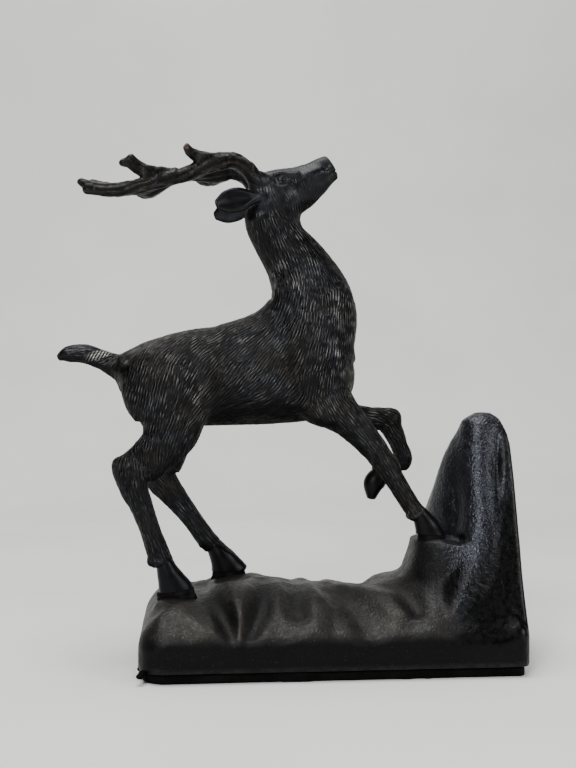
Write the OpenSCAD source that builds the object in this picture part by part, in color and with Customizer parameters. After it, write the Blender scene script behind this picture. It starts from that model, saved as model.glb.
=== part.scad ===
// Rearing stag bookend in dark bronze: a stag cast in sections on a hollow rocky base with a flat upright.
// Frame: +X the way the stag faces, +Z up, origin at the middle of the underside. Millimetres.

/* [Base] */
// Left end of the base casting
base_left = -53; // [-56:0.5:-50]
// Flat outer face of the upright
face_x = 84; // [82:0.5:87]
// Half the depth of the base casting
base_half_w = 35.5; // [33:0.5:38]
// Height of the plain band around the base
band_top = 14.5; // [12:0.5:16]
// Rounding of the two left corners in plan
left_corner_r = 10; // [6:0.5:14]
// Rounding of the two right corners in plan
right_corner_r = 4; // [2:0.5:5]
// Height of the upright
upright_top = 91; // [86:0.5:96]
// Thickness of the upright plate
upright_t = 5; // [5:0.5:8]
// Casting wall
wall = 5; // [4:0.5:6]

/* [Underside] */
// Thickness of the pad
pad_t = 3.8; // [2:0.1:4.5]
// How far the pad stands in from the edge of the casting
pad_inset = 1.6; // [0.5:0.1:3]
// Thickness of the closing plate
plate_t = 1.6; // [1.2:0.1:2]
// Width of the seat the closing plate rests on
plate_land = 2; // [1:0.5:2.5]
// Screw shank radius
screw_r = 1.5; // [1.3:0.1:1.6]
// Screw head radius
screw_head_r = 2.8; // [2.4:0.1:3]
// Screw length
screw_len = 9; // [7:0.5:10]
// Boss radius for the screws
boss_r = 4.5; // [4:0.5:5]

/* [Fixings] */
// Radius of the dowels in the brazed joints
dowel_r = 1.5; // [1.2:0.1:1.8]
// Length of each dowel
dowel_len = 8; // [6:0.5:9]
// Radius of the small dowels in the antlers
pin_r = 1; // [0.8:0.1:1.2]
// Radius of the hoof studs
stud_r = 1.5; // [1.3:0.1:1.7]
// Clearance radius of the stud holes in the base
stud_hole_r = 1.8; // [1.75:0.05:2.1]
// Radius of the washers
washer_r = 4.5; // [4:0.5:5]
// Thickness of the washers
washer_t = 0.8; // [0.5:0.1:1]
// Nut size across the corners, halved
nut_r = 3.2; // [3:0.1:3.5]
// Thickness of the nuts
nut_t = 2.4; // [2:0.1:3]

/* [Hidden] */

bronze = [0.16, 0.14, 0.12];
steel = [0.5, 0.5, 0.52];
black = [0.05, 0.05, 0.05];
grey = [0.55, 0.54, 0.5];

casting_bottom = pad_t;
plate_top = casting_bottom + plate_t;
screw_slot = 0.7;
roof_z = 17.5;
cavity_r = 7;
// The roof of the hollow is stepped in under the slopes of the rock.
shoulder_z = 12;
shoulder_in_x = 6;
shoulder_in_y = 12;
// Hollow in the rock behind the ledge.
pillar_x0 = 60;
pillar_half_w = 10;
pillar_roof_z = 39;
boss_inset = 3;
fit_gap = 0.15;
// Extra wall at the left end, where the corners are round.
left_step = 2;
// The upright is modelled this far past its face and then trimmed.
face_over = 1;
big = 400;

body_sides = 28;
limb_sides = 18;
small_sides = 14;

// ---------- smooth curves through stations ----------

// Value on a Catmull-Rom curve between b and c.
function blend(a, b, c, d, t) =
    0.5 * (2 * b + (c - a) * t + (2 * a - 5 * b + 4 * c - d) * t * t + (3 * b - 3 * c + d - a) * t * t * t);

function clamp_index(i, n) = max(0, min(n - 1, i));

// Stations with `steps` new ones for every gap between the given ones.
function smooth(rows, steps) =
    let (n = len(rows))
    [for (i = [0 : n - 2], k = [0 : steps - 1])
        blend(rows[clamp_index(i - 1, n)], rows[i], rows[i + 1], rows[clamp_index(i + 2, n)], k / steps),
     rows[n - 1]];

function unit(v) = v / norm(v);

function direction(rows, i) =
    let (n = len(rows), a = rows[clamp_index(i - 1, n)], b = rows[clamp_index(i + 1, n)])
    unit([b[0] - a[0], b[1] - a[1], b[2] - a[2]]);

// One ring of a limb. A station is [x, y, z, half size in the side view, half size across].
function limb_ring(rows, i, sides) =
    let (r = rows[i],
         d = direction(rows, i),
         up = unit(cross(d, [0, 1, 0])),
         side = cross(up, d))
    [for (k = [0 : sides - 1])
        let (a = -360 * k / sides)
        [r[0], r[1], r[2]] + r[3] * cos(a) * up + r[4] * sin(a) * side];

// ---------- solids from rings ----------

// Closed solid through rings that all have the same number of points.
module skin(rings) {
    m = len(rings);
    n = len(rings[0]);
    first = [for (k = [0 : n - 1]) k];
    last = [for (k = [0 : n - 1]) (m - 1) * n + n - 1 - k];
    walls = [for (i = [0 : m - 2], k = [0 : n - 1])
        let (a = i * n + k, b = i * n + (k + 1) % n, c = a + n, d = b + n)
        each [[a, d, b], [a, c, d]]];
    polyhedron(points = [for (r = rings) each r], faces = concat([first], walls, [last]), convexity = 8);
}

module limb(stations, steps, sides) {
    rows = smooth(stations, steps);
    skin([for (i = [0 : len(rows) - 1]) limb_ring(rows, i, sides)]);
}

// Shapes made of many small faces are joined as one mesh first.
module as_mesh() {
    resize([0, 0, 0])
        union()
            children();
}

// Half space on the side of a plane that the normal points to.
module beyond(point, tilt) {
    translate(point)
        rotate([0, tilt, 0])
            translate([-big / 2, -big / 2, 0])
                cube(big);
}

module at_each(places) {
    for (p = places)
        translate(p)
            children();
}

// Rounded rectangle in plan with its own corner radius left and right.
function corner(cx, cy, r, from, steps) =
    [for (k = [0 : steps]) [cx + r * cos(from + 90 * k / steps), cy + r * sin(from + 90 * k / steps)]];

function slab_outline(x0, x1, half_w, r0, r1) =
    concat(corner(x1 - r1, half_w - r1, r1, 0, 6),
           corner(x0 + r0, half_w - r0, r0, 90, 6),
           corner(x0 + r0, -half_w + r0, r0, 180, 6),
           corner(x1 - r1, -half_w + r1, r1, 270, 6));

module slab(x0, x1, half_w, r0, r1, z0, z1) {
    translate([0, 0, z0])
        linear_extrude(z1 - z0)
            polygon(slab_outline(x0, x1, half_w, r0, r1));
}

// ---------- base casting ----------

// Ridge of the rocky ground: [x, height].
ridge = [[-56, 24.6], [-46, 25.6], [-34, 25.6], [-27, 27.6], [-17, 28.4], [-8, 28.2], [0, 27], [6, 25.2],
         [14, 25.8], [22, 25], [30, 23.4], [38, 25.6], [46, 27.5], [60, 33], [90, 36]];

function ridge_z(x) = lookup(x, ridge);

// Rills down the two slopes: [x at the ridge, x at the band, half width, depth].
near_rills = [[-28, -20, 4.4, 4], [-11, -16, 3.6, 3.4], [3.4, 2.2, 3.4, 2], [14, 25, 4.2, 2.4], [38, 45, 4.5, 2.4]];
far_rills = [[-40, -30, 3.4, 3], [-24, -30, 3, 2.2], [-6, 4, 3.4, 2.6], [16, 8, 3, 2.2]];
// Share of the slope over which the rills fade out above the band.
rill_start = 0.06;

function total(v, i = 0) = i < len(v) ? v[i] + total(v, i + 1) : 0;

// Depth of the rills at a point, t of the way up the slope.
function rill_depth(x, y, t) =
    let (swell = pow(abs(sin(180 * (rill_start + (1 - rill_start) * t))), 0.7))
    swell * total([for (r = y < 0 ? near_rills : far_rills)
        let (off = (x - r[1] - (r[0] - r[1]) * t) / r[2])
        r[3] * exp(-off * off)]);

// Low waves all over the rock.
function relief(x, y) =
    1.1 * sin(11 * x + 5 * y) * cos(4 * x - 7 * y) + 0.45 * sin(19 * x - 10 * y);

// How far a point lies inside the rounded outline of the base.
function inside(x, y) =
    let (r = x < 0 ? left_corner_r : right_corner_r,
         dx = max(base_left + r - x, x - face_x + r),
         dy = abs(y) - base_half_w + r)
    r - (dx > 0 && dy > 0 ? norm([dx, dy]) : max(dx, dy));

// Depth of the slope from the band up to the ridge: short at the left end, long along the sides.
end_run = 8;
side_run = 30;
run_growth = 0.55;

function slope_run(x) = min(side_run, end_run + run_growth * (x - base_left));

function ground_z(x, y) =
    let (t = max(0, min(1, inside(x, y) / slope_run(x))), rise = sin(90 * t))
    band_top + (ridge_z(x) - band_top) * rise + relief(x, y) * sqrt(rise) - rill_depth(x, y, t);

cells_x = 56;
cells_y = 30;

function grid_x(i) = base_left - 1 + (face_x - base_left + 2) * i / cells_x;
function grid_y(j) = (base_half_w + 1) * (2 * j / cells_y - 1);

// Rocky ground as a block with a modelled top.
module ground() {
    row = cells_y + 1;
    count = (cells_x + 1) * row;
    top = [for (i = [0 : cells_x], j = [0 : cells_y]) [grid_x(i), grid_y(j), ground_z(grid_x(i), grid_y(j))]];
    bottom = [for (p = top) [p[0], p[1], casting_bottom - 1]];
    tops = [for (i = [0 : cells_x - 1], j = [0 : cells_y - 1])
        let (a = i * row + j, b = a + row)
        each [[a, a + 1, b + 1], [a, b + 1, b]]];
    bottoms = [for (f = tops) [f[0] + count, f[2] + count, f[1] + count]];
    rim = concat([for (i = [0 : cells_x - 1]) i * row],
                 [for (j = [0 : cells_y - 1]) cells_x * row + j],
                 [for (i = [cells_x : -1 : 1]) i * row + cells_y],
                 [for (j = [cells_y : -1 : 1]) j]);
    sides = [for (k = [0 : len(rim) - 1])
        let (a = rim[k], b = rim[(k + 1) % len(rim)])
        each [[a, b, b + count], [a, b + count, a + count]]];
    polyhedron(points = concat(top, bottom), faces = concat(tops, bottoms, sides), convexity = 8);
}

// Cliff under the ledge: [height, left edge, half width].
cliff = [[12, 38.6, 30, 0], [20, 42, 27.6, 0], [27, 44.4, 25, -0.6], [34, 45.2, 22, -1], [41, 46.2, 20, -1.4],
         [44.6, 46.8, 19.4, -1.6], [46.6, 47.8, 18.6, -1.6]];

// Spire above the ledge: [height, left edge, half width, middle of the width].
spire = [[38, 53, 18, 1], [48, 54, 16.4, 1.4], [56, 55.5, 14, 1.6], [64, 57.6, 12, 1.4], [72, 59.8, 10.4, 1],
         [79, 62.6, 7.8, 0.4], [85, 66.4, 5.6, 0], [89, 70, 3.4, 0], [90.4, 74.4, 1.6, 0]];

// Full lobe that climbs over the near side to the top, and a smaller one on the far side. Stations as for a limb.
near_lobe = [[58, -24, 19, 4, 4], [62, -21.6, 26, 6, 6], [67.6, -17.2, 35, 7.4, 7.4], [70.6, -13.8, 44, 7.6, 7.6],
             [72.6, -11.2, 54, 7.4, 7.4], [73.8, -8, 64, 7, 7], [74.6, -5, 73, 6.6, 6.6], [76, -2.2, 81, 6, 6],
             [79, 0, 86.2, 4.2, 4.2]];
far_lobe = [[60, 20, 24, 6, 6], [61, 18, 40, 6.6, 6.6], [64, 13, 56, 6, 6], [69, 7, 70, 5.4, 5.4],
            [76, 3, 81, 4.6, 4.6]];

// Niche behind the forehoof.
niche = [[51, -20, 54, 7.4, 7.4], [55.8, -17.8, 54.6, 7.8, 7.8], [56.6, -15, 62, 6.8, 6.8],
         [58.4, -11.4, 70, 5, 5], [62, -8, 78, 2.6, 2.6]];

// Upright plate: [height, how far its foot runs out to the left, half width, how far its top edge is rounded in].
plate_shape = [[12, 23, 34, 0], [20, 17.6, 30.6, 0], [27.5, 13.4, 27.4, 0], [34, 11, 25, 0], [44, 8, 22, 0],
               [56, 4, 18.4, 0], [68, 1, 14.6, 0], [77, 0, 11, 0], [84, 0, 7.6, 0], [88, 0, 5.4, 0.8],
               [90, 0, 3.8, 1.6], [91, 0, 2.2, 2.4]];
plate_foot_z = plate_shape[0][0];
plate_end_z = plate_shape[len(plate_shape) - 1][0];
plate_least_half_w = 1.2;

// The rock columns end inside the plate: the widest part of the ring is this far from its face.
rock_end = 5;
rock_reach = 3;
// Below 1, the ring is squarer than an ellipse.
rock_power = 0.8;

// Ring with a round left side that ends inside the plate on the right.
function rock_ring(z, left, half_w, mid) =
    [for (k = [0 : body_sides - 1])
        let (a = 360 * k / body_sides,
             c = cos(a),
             s = sin(a),
             reach = c < 0 ? face_x - rock_end - left : rock_reach,
             lump = 1 + 0.035 * sin(5 * a + 4 * z) + 0.02 * sin(11 * a - 7 * z))
        [face_x - rock_end + reach * sign(c) * pow(abs(c), rock_power) * lump,
         mid + half_w * sign(s) * pow(abs(s), rock_power) * lump, z]];

module rock_column(stations) {
    rows = smooth([for (s = stations) [s[0], s[1], s[2], len(s) > 3 ? s[3] : 0]], 3);
    skin([for (r = rows) rock_ring(r[0], r[1], r[2], r[3])]);
}

module upright_plate() {
    stretch = (upright_top - plate_end_z) / (plate_end_z - plate_foot_z);
    rows = smooth([for (s = plate_shape) [s[0] + (s[0] - plate_foot_z) * stretch, s[1], s[2], s[3]]], 2);
    skin([for (r = rows)
        let (w = max(plate_least_half_w, r[2]), c = min(right_corner_r, 0.8 * w))
        [for (p = slab_outline(face_x - upright_t - r[1], face_x + face_over - r[3], w, c, c))
            [p[0], p[1], r[0]]]]);
}

// The modelled rock without the plate.
module rock() {
    difference() {
        union() {
            ground();
            rock_column(cliff);
            rock_column(spire);
        }
        limb(niche, 2, limb_sides);
    }
    limb(near_lobe, 2, limb_sides);
    limb(far_lobe, 2, limb_sides);
}

module base_shape() {
    as_mesh()
        intersection() {
            union() {
                rock();
                upright_plate();
            }
            slab(base_left, face_x, base_half_w, left_corner_r, right_corner_r, casting_bottom, 2 * upright_top);
        }
}

screw_places = [for (x = [base_left + wall + boss_r + boss_inset, face_x - wall - boss_r],
                     y = [-1, 1] * (base_half_w - wall - boss_r)) [x, y, 0]];

cavity_x0 = base_left + wall + left_step;
cavity_x1 = face_x - wall;
cavity_half_w = base_half_w - wall;

module cavity() {
    difference() {
        union() {
            slab(cavity_x0, cavity_x1, cavity_half_w, cavity_r, cavity_r, casting_bottom - 1, shoulder_z);
            slab(cavity_x0 + shoulder_in_x, cavity_x1, cavity_half_w - shoulder_in_y, cavity_r, cavity_r,
                 shoulder_z - 1, roof_z);
        }
        at_each(screw_places)
            cylinder(r = boss_r, h = 2 * roof_z, $fn = 32);
    }
    slab(pillar_x0, cavity_x1 - 2, pillar_half_w, cavity_r - 2, cavity_r - 2, roof_z - 1, pillar_roof_z);
}

// Seat of the closing plate, smaller all round by `gap`.
module seat(z0, z1, gap) {
    slab(cavity_x0 - plate_land + gap, cavity_x1 + plate_land - gap, cavity_half_w + plate_land - gap,
         cavity_r + plate_land, cavity_r + plate_land, z0, z1);
}

module base_casting() {
    color(bronze)
        difference() {
            base_shape();
            cavity();
            seat(casting_bottom - 1, plate_top, 0);
            at_each(screw_places)
                cylinder(r = screw_r, h = casting_bottom + screw_len + 1, $fn = 24);
            at_each([for (p = hoof_places) [p[0], p[1], plate_top]])
                cylinder(r = stud_hole_r, h = upright_top, $fn = 24);
        }
}

// ---------- underside ----------

module closing_plate() {
    color(steel)
        difference() {
            seat(casting_bottom, plate_top, fit_gap);
            at_each([for (p = screw_places) p + [0, 0, casting_bottom]])
                screw_shape(fit_gap);
        }
}

// Countersunk screw standing on its head, larger all round by `gap`.
module screw_shape(gap) {
    rotate_extrude($fn = 32)
        polygon([[0, 0], [screw_head_r + gap, 0], [screw_r + gap, plate_t], [screw_r + gap, screw_len],
                 [0, screw_len]]);
}

module plate_screws() {
    color(steel)
        at_each([for (p = screw_places) p + [0, 0, casting_bottom]])
            difference() {
                screw_shape(0);
                translate([-screw_head_r, -screw_slot / 2, -1])
                    cube([2 * screw_head_r, screw_slot, 1 + screw_slot]);
            }
}

module base_pad() {
    color(black)
        slab(base_left + pad_inset, face_x - pad_inset, base_half_w - pad_inset,
             left_corner_r - pad_inset, right_corner_r, 0, pad_t);
}

weight_x0 = -4;
weight_x1 = 44;
weight_gap = 1;
weight_corner_r = 5;

module weight() {
    color(grey)
        slab(weight_x0, weight_x1, cavity_half_w - shoulder_in_y - weight_gap, weight_corner_r, weight_corner_r,
             plate_top + fit_gap, roof_z - fit_gap);
}

// ---------- stag: stations are [x, y, z, half size in the side view, half size across] ----------

barrel = [[-62.5, 0, 108, 2.5, 3], [-60, 0, 107.6, 7, 7], [-54, 0, 106.4, 11.6, 11], [-45, 0, 105.2, 15.4, 13],
          [-34, 0, 104.9, 17.8, 13], [-22, 0, 105.6, 18.7, 13], [-10, 0, 107, 19.8, 13.3], [2, 0, 108.6, 20.6, 13.8],
          [12, 0, 110, 20.2, 13.4], [16.6, 0, 111.6, 17.4, 12], [20.8, 0, 113.6, 12, 9], [23.2, 0, 115, 4.5, 4]];

neck = [[12.6, 0, 112, 13, 12], [12.2, 0, 121, 15, 12.6], [11.6, 0, 129, 15.6, 12], [9.6, 0, 137, 14.5, 10.8],
        [4.8, 0, 147, 11.9, 9.4], [-1.2, 0, 155.5, 10, 8.4], [-4.4, 0, 163, 10.2, 7.9], [-5.5, 0, 168, 9.4, 7]];

withers = [[-20, 0, 116, 7, 8], [-12, 0, 119.6, 7.2, 8], [-6.4, 0, 123.6, 6.8, 7.6], [-1.6, 0, 130, 5, 7]];

skull = [[-12.6, 0, 172.6, 3.5, 4], [-11, 0, 172.8, 6.6, 6.4], [-7, 0, 172.8, 8.9, 7.6], [-1, 0, 173.4, 9.6, 7.5],
         [5.4, 0, 175.8, 8.4, 6.3], [10.6, 0, 179, 6.8, 4.9], [14.6, 0, 182, 5.7, 4.2],
         [17.6, 0, 183.8, 4.9, 3.8]];

thigh = [[-46, 0, 108, 13, 4.4], [-45, 0, 100, 14.6, 6], [-41.6, 0, 92, 12.8, 6.2], [-41.7, 0, 85, 10, 5.6],
         [-44, 0, 79, 8, 4.8]];

far_thigh = [[-45, 7.6, 108, 13, 4.4], [-43, 7.6, 100, 15, 6], [-41, 7.6, 92, 11.6, 6.2], [-41.4, 7.6, 85, 9.4, 5.6],
             [-43.6, 7.6, 79, 8, 4.8]];

shoulder = [[4, 0, 118, 8, 4], [8.4, 0, 110, 11, 6], [12.6, 0, 101, 10.6, 6.4], [18.4, 0, 93, 7.4, 5.4],
            [23.4, 0, 87, 5.8, 4.6]];

elbow = [[8, 0, 98, 6, 4], [13, 0, 92, 5.4, 4.6], [17, 0, 89.8, 3.4, 3.6]];

hind_near = [[-42, -9.4, 90, 10.8, 5.6], [-43, -9.8, 82, 9.3, 5.2], [-49.4, -10.8, 75.6, 7.8, 4.6],
             [-54.8, -11.2, 70.4, 7, 4.3], [-55, -11.6, 65, 5.4, 3.8], [-52.6, -11.9, 59, 4.2, 3.3],
             [-49.4, -12.2, 50, 3.7, 3.1], [-46.6, -12.6, 42, 4, 3.2], [-44.4, -12.8, 37, 3.8, 3.4]];

hoof_near = [[-44.4, -12.8, 39, 3, 3], [-43, -12.8, 35, 4, 3.7], [-41.6, -12.8, 31.6, 5.2, 4.1],
             [-40.3, -12.8, 28.4, 6.3, 4.4], [-39.7, -12.8, 25.6, 6.9, 4.5]];

hind_far = [[-41, 9.4, 90, 10.2, 5.6], [-42.2, 9.8, 82, 8.8, 5.2], [-45.2, 10.4, 74, 7.8, 4.6], [-46.4, 10.8, 67, 6.2, 4.2],
            [-41, 11.4, 59.4, 4.7, 3.5], [-34.6, 12, 51, 3.8, 3.1], [-29.4, 12.4, 43.6, 3.8, 3.2],
            [-25.6, 12.6, 40, 3.6, 3.3]];

hoof_far = [[-26.4, 12.6, 41, 3, 3], [-24.4, 12.6, 38, 4, 3.7], [-22.4, 12.6, 34.8, 5.2, 4.1],
            [-21, 12.6, 31.8, 6.4, 4.4], [-20, 12.6, 29.6, 7.2, 4.4]];

fore_near = [[18, -9, 96, 7, 5], [23.6, -9.6, 88.6, 6, 4.6], [31.6, -10.2, 79.6, 5, 3.9], [36, -10.8, 73.4, 4.2, 3.4],
             [41, -11.4, 65.4, 3.6, 3], [45.6, -11.8, 58, 3.4, 3], [49.6, -12, 53.6, 3.4, 3.3]];

hoof_fore = [[48.4, -12, 56, 2.6, 2.8], [50.3, -12, 52.6, 3.7, 3.5], [51.9, -12, 49.6, 4.7, 3.9],
             [53, -12, 46, 5.6, 4.1]];

fore_far = [[18, 9.4, 91.4, 6, 5], [26, 9.8, 89.8, 5.4, 4.6], [34, 10.2, 89, 4.6, 3.9], [40, 10.6, 88.4, 4.4, 3.7],
            [43.4, 10.8, 84, 4, 3.4], [45.8, 11, 78.4, 3.4, 3], [47.6, 11, 73.4, 3.4, 3.2], [46.4, 11, 70.2, 2.7, 2.6]];

hoof_raised = [[48, 11, 72.6, 2.3, 2.4], [42.6, 10.6, 69, 3, 3], [38.4, 10.2, 67, 3.8, 3.6], [35.6, 10, 63.6, 4, 3.8],
               [34.6, 10, 58.4, 1.8, 2.4]];

tail_shape = [[-57, 0, 107.6, 6, 4.6], [-62, 0, 109, 4.6, 4], [-68, 0, 111.6, 3.6, 3.6], [-74, 0, 113.6, 3.5, 3.8],
              [-80, 0, 113.4, 2.9, 3.2], [-83.5, 0, 111.8, 1.1, 1.2]];

near_beam = [[-10, -5, 176, 3.2, 3.2], [-14, -6.4, 181.2, 3.1, 3.1], [-19.6, -7.4, 184.2, 3, 3],
             [-27, -8, 182.8, 2.9, 2.9], [-36, -8.4, 179, 2.8, 2.8], [-46, -8.8, 176, 2.7, 2.7],
             [-55, -9, 173.6, 2.7, 2.6], [-64, -8.6, 172.6, 2.6, 2.5], [-73.2, -8, 173.8, 2.4, 2.4]];

far_beam = [[-10, 5, 176, 3.2, 3.2], [-14, 6, 181, 3.1, 3.1], [-20, 6.4, 182.8, 2.8, 2.8],
            [-28, 6.8, 182, 2.7, 2.7], [-37, 7, 181.6, 2.5, 2.5], [-44, 7, 179.2, 2.5, 2.5],
            [-51, 7, 176.6, 2.5, 2.5], [-58, 7, 175.8, 2.4, 2.4], [-65, 6.8, 175.6, 2.4, 2.4],
            [-73.4, 6.4, 177.2, 2.2, 2.2]];

near_brow = [[-22, -7.8, 184, 2.6, 2.6], [-29, -8.8, 184.6, 2.3, 2.3], [-34, -9.6, 186, 1.9, 1.9],
             [-37, -10.2, 189.4, 1.1, 1.1]];

near_tine = [[-41, -9, 178.2, 2.4, 2.4], [-49, -9.8, 179, 2.6, 2.6], [-54, -10.4, 180.8, 2.5, 2.5],
             [-57.4, -10.8, 183.4, 2.2, 2.2]];

near_nub = [[-54, -10.2, 180.6, 1.8, 1.8], [-60, -10.8, 181.8, 1.2, 1.2]];

far_brow = [[-22, 6.6, 182, 2.4, 2.4], [-27, 9, 181, 3.2, 3], [-30.6, 11, 181.6, 3, 2.8],
            [-33, 12, 183.4, 1.8, 1.8]];

far_tine = [[-45, 7, 178.4, 2.3, 2.2], [-50, 9, 175.8, 3, 2.8], [-53.6, 11, 175.8, 2.6, 2.6],
            [-56, 12, 177, 1.6, 1.6]];

ear_shape = [[-8.4, 6, 171.4, 2, 1.6], [-12, 8.2, 170.8, 2.6, 1.5], [-17, 10.6, 169.6, 4.5, 1.5],
             [-22, 12.2, 168.2, 4.1, 1.3], [-25.8, 13.2, 167.2, 1.6, 0.8]];

ear_hollow = [[-12, 10.4, 170.8, 1.4, 1], [-17, 12.8, 169.6, 3.2, 1.4], [-22, 14.2, 168.2, 2.8, 1.2],
              [-24.6, 14.8, 167.4, 1, 0.6]];

// Standing hooves: where each stud stands, and the height it reaches up to.
hoof_places = [[-40.4, -12.8, 33.6], [-21.2, 12.6, 36], [53, -12, 51]];

// Sole heights of the standing hooves.
near_sole = 28.4;
far_sole = 30.8;
fore_sole = 47.4;

neck_cut = [-4.6, 0, 163.6];
neck_tilt = -3;
hip_cut_z = 84;
fore_cut = [24, 0, 89.4];
fore_tilt = 149;
far_fore_cut = [25, 0, 90];
// Rooms that hold one leg each.
hind_room_x0 = -90;
hind_room_x1 = 2;
leg_room_w = 40;
leg_room_z0 = 20;
near_fore_top = 98;
far_fore_top = 96;

function shifted(rows, dy) = [for (r = rows) [r[0], r[1] + dy, r[2], r[3], r[4]]];

module body_mass() {
    limb(barrel, 3, body_sides);
    limb(neck, 3, body_sides);
    limb(withers, 3, limb_sides);
    limb(shifted(thigh, -7.6), 3, limb_sides);
    limb(far_thigh, 3, limb_sides);
    limb(shifted(shoulder, -8), 3, limb_sides);
    limb(shifted(shoulder, 8), 2, limb_sides);
    limb(shifted(elbow, 9), 2, limb_sides);
}

module trunk_shape() {
    as_mesh()
        difference() {
            body_mass();
            beyond(neck_cut, neck_tilt);
            below_hips(-1);
            below_hips(1);
            near_fore_region();
            far_fore_region();
        }
}

// Everything of one hind leg below the joint at the thigh.
module below_hips(side) {
    translate([hind_room_x0, side < 0 ? -leg_room_w : 0, leg_room_z0])
        cube([hind_room_x1 - hind_room_x0, leg_room_w, hip_cut_z - leg_room_z0]);
}

module near_fore_region() {
    intersection() {
        beyond(fore_cut, fore_tilt);
        translate([0, -leg_room_w, 0])
            cube([face_x, leg_room_w, near_fore_top]);
    }
}

module far_fore_region() {
    translate([far_fore_cut[0], 0, leg_room_z0])
        cube([face_x - far_fore_cut[0], leg_room_w, far_fore_top - leg_room_z0]);
}

// Dowel joints: [point on the joint face, direction as a rotation].
head_joint = [[-4.6, 0, 163.6], [0, -14, 0]];
tail_joint = [[-60.6, 0, 108.6], [0, -68, 0]];
leg_joints = [[[-45, -9.8, hip_cut_z], [0, 12, 0]], [[-42.4, 9.8, hip_cut_z], [0, 4, 0]],
              [[24, -9.6, 89.4], [0, 138, 0]], [[far_fore_cut[0], 9.8, 90.2], [0, 92, 0]]];
antler_joints = [[[-12, -5.7, 178.6], [14, -36, 0]], [[-12, 5.6, 178.6], [-12, -36, 0]]];

module dowel_at(joint, r, length) {
    translate(joint[0])
        rotate(joint[1])
            translate([0, 0, -length / 2])
                cylinder(r = r, h = length, $fn = 24);
}

module trunk() {
    color(bronze)
        difference() {
            trunk_shape();
            dowel_at(head_joint, dowel_r, dowel_len);
            dowel_at(tail_joint, dowel_r, dowel_len);
            for (j = leg_joints)
                dowel_at(j, dowel_r, dowel_len);
        }
}

module head_shape() {
    limb(skull, 3, body_sides);
    intersection() {
        limb(neck, 3, body_sides);
        beyond(neck_cut, neck_tilt);
    }
}

module head() {
    color(bronze)
        difference() {
            as_mesh()
                intersection() {
                    head_shape();
                    beyond(neck_cut, neck_tilt);
                }
            dowel_at(head_joint, dowel_r, dowel_len);
            for (j = antler_joints)
                dowel_at(j, pin_r, dowel_len);
        }
}

module head_dowel() {
    color(steel)
        dowel_at(head_joint, dowel_r, dowel_len);
}

module near_antler() {
    color(bronze)
        difference() {
            as_mesh()
                difference() {
                    union() {
                        limb(near_beam, 3, small_sides);
                        limb(near_brow, 3, small_sides);
                        limb(near_tine, 3, small_sides);
                        limb(near_nub, 2, small_sides);
                    }
                    head_shape();
                }
            dowel_at(antler_joints[0], pin_r, dowel_len);
        }
}

module far_antler() {
    color(bronze)
        difference() {
            as_mesh()
                difference() {
                    union() {
                        limb(far_beam, 3, small_sides);
                        limb(far_brow, 3, small_sides);
                        limb(far_tine, 3, small_sides);
                    }
                    head_shape();
                }
            dowel_at(antler_joints[1], pin_r, dowel_len);
        }
}

module antler_dowels() {
    color(steel)
        for (j = antler_joints)
            dowel_at(j, pin_r, dowel_len);
}

module far_ear() {
    color(bronze)
        as_mesh()
            difference() {
                limb(ear_shape, 3, limb_sides);
                limb(ear_hollow, 2, small_sides);
                head_shape();
            }
}

module near_ear() {
    color(bronze)
        as_mesh()
            difference() {
                mirror([0, 1, 0]) {
                    difference() {
                        limb(ear_shape, 3, limb_sides);
                        limb(ear_hollow, 2, small_sides);
                    }
                }
                head_shape();
            }
}

module tail() {
    color(bronze)
        difference() {
            as_mesh()
                difference() {
                    limb(tail_shape, 3, limb_sides);
                    limb(barrel, 3, body_sides);
                }
            dowel_at(tail_joint, dowel_r, dowel_len);
        }
}

module tail_dowel() {
    color(steel)
        dowel_at(tail_joint, dowel_r, dowel_len);
}

// ---------- legs ----------

module dewclaws(place, tilt) {
    for (s = [-1, 1])
        translate(place + [0, 1.7 * s, 0])
            rotate([0, tilt, 0])
                scale([1, 0.8, 1.5])
                    sphere(r = 1.6, $fn = 16);
}

module standing_leg(leg, hoof, sole_z, claw, claw_tilt) {
    as_mesh()
        intersection() {
            union() {
                limb(leg, 3, limb_sides);
                limb(hoof, 3, limb_sides);
                dewclaws(claw, claw_tilt);
            }
            translate([-big / 2, -big / 2, sole_z])
                cube(big);
        }
}

module stud_bore(i) {
    translate([hoof_places[i][0], hoof_places[i][1], 0])
        cylinder(r = stud_r, h = hoof_places[i][2], $fn = 24);
}

module near_hind_leg() {
    color(bronze)
        difference() {
            as_mesh()
                intersection() {
                    standing_leg(hind_near, hoof_near, near_sole, [-48.6, -12.6, 39], 8);
                    below_hips(-1);
                }
            dowel_at(leg_joints[0], dowel_r, dowel_len);
            stud_bore(0);
        }
}

module far_hind_leg() {
    color(bronze)
        difference() {
            as_mesh()
                intersection() {
                    standing_leg(hind_far, hoof_far, far_sole, [-30, 12.4, 41.6], 20);
                    below_hips(1);
                }
            dowel_at(leg_joints[1], dowel_r, dowel_len);
            stud_bore(1);
        }
}

module near_foreleg() {
    color(bronze)
        difference() {
            as_mesh()
                intersection() {
                    standing_leg(fore_near, hoof_fore, fore_sole, [46.2, -12, 54.4], 20);
                    near_fore_region();
                }
            dowel_at(leg_joints[2], dowel_r, dowel_len);
            stud_bore(2);
        }
}

module far_foreleg() {
    color(bronze)
        difference() {
            as_mesh()
                intersection() {
                    union() {
                        limb(fore_far, 3, limb_sides);
                        limb(hoof_raised, 3, limb_sides);
                        dewclaws([37.6, 10.2, 69.6], 60);
                    }
                    far_fore_region();
                }
            dowel_at(leg_joints[3], dowel_r, dowel_len);
        }
}

module leg_dowels() {
    color(steel)
        for (j = leg_joints)
            dowel_at(j, dowel_r, dowel_len);
}

// ---------- hoof fixings ----------

washer_z = roof_z - washer_t;
nut_z = washer_z - nut_t;
stud_z = nut_z - 1;

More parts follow.
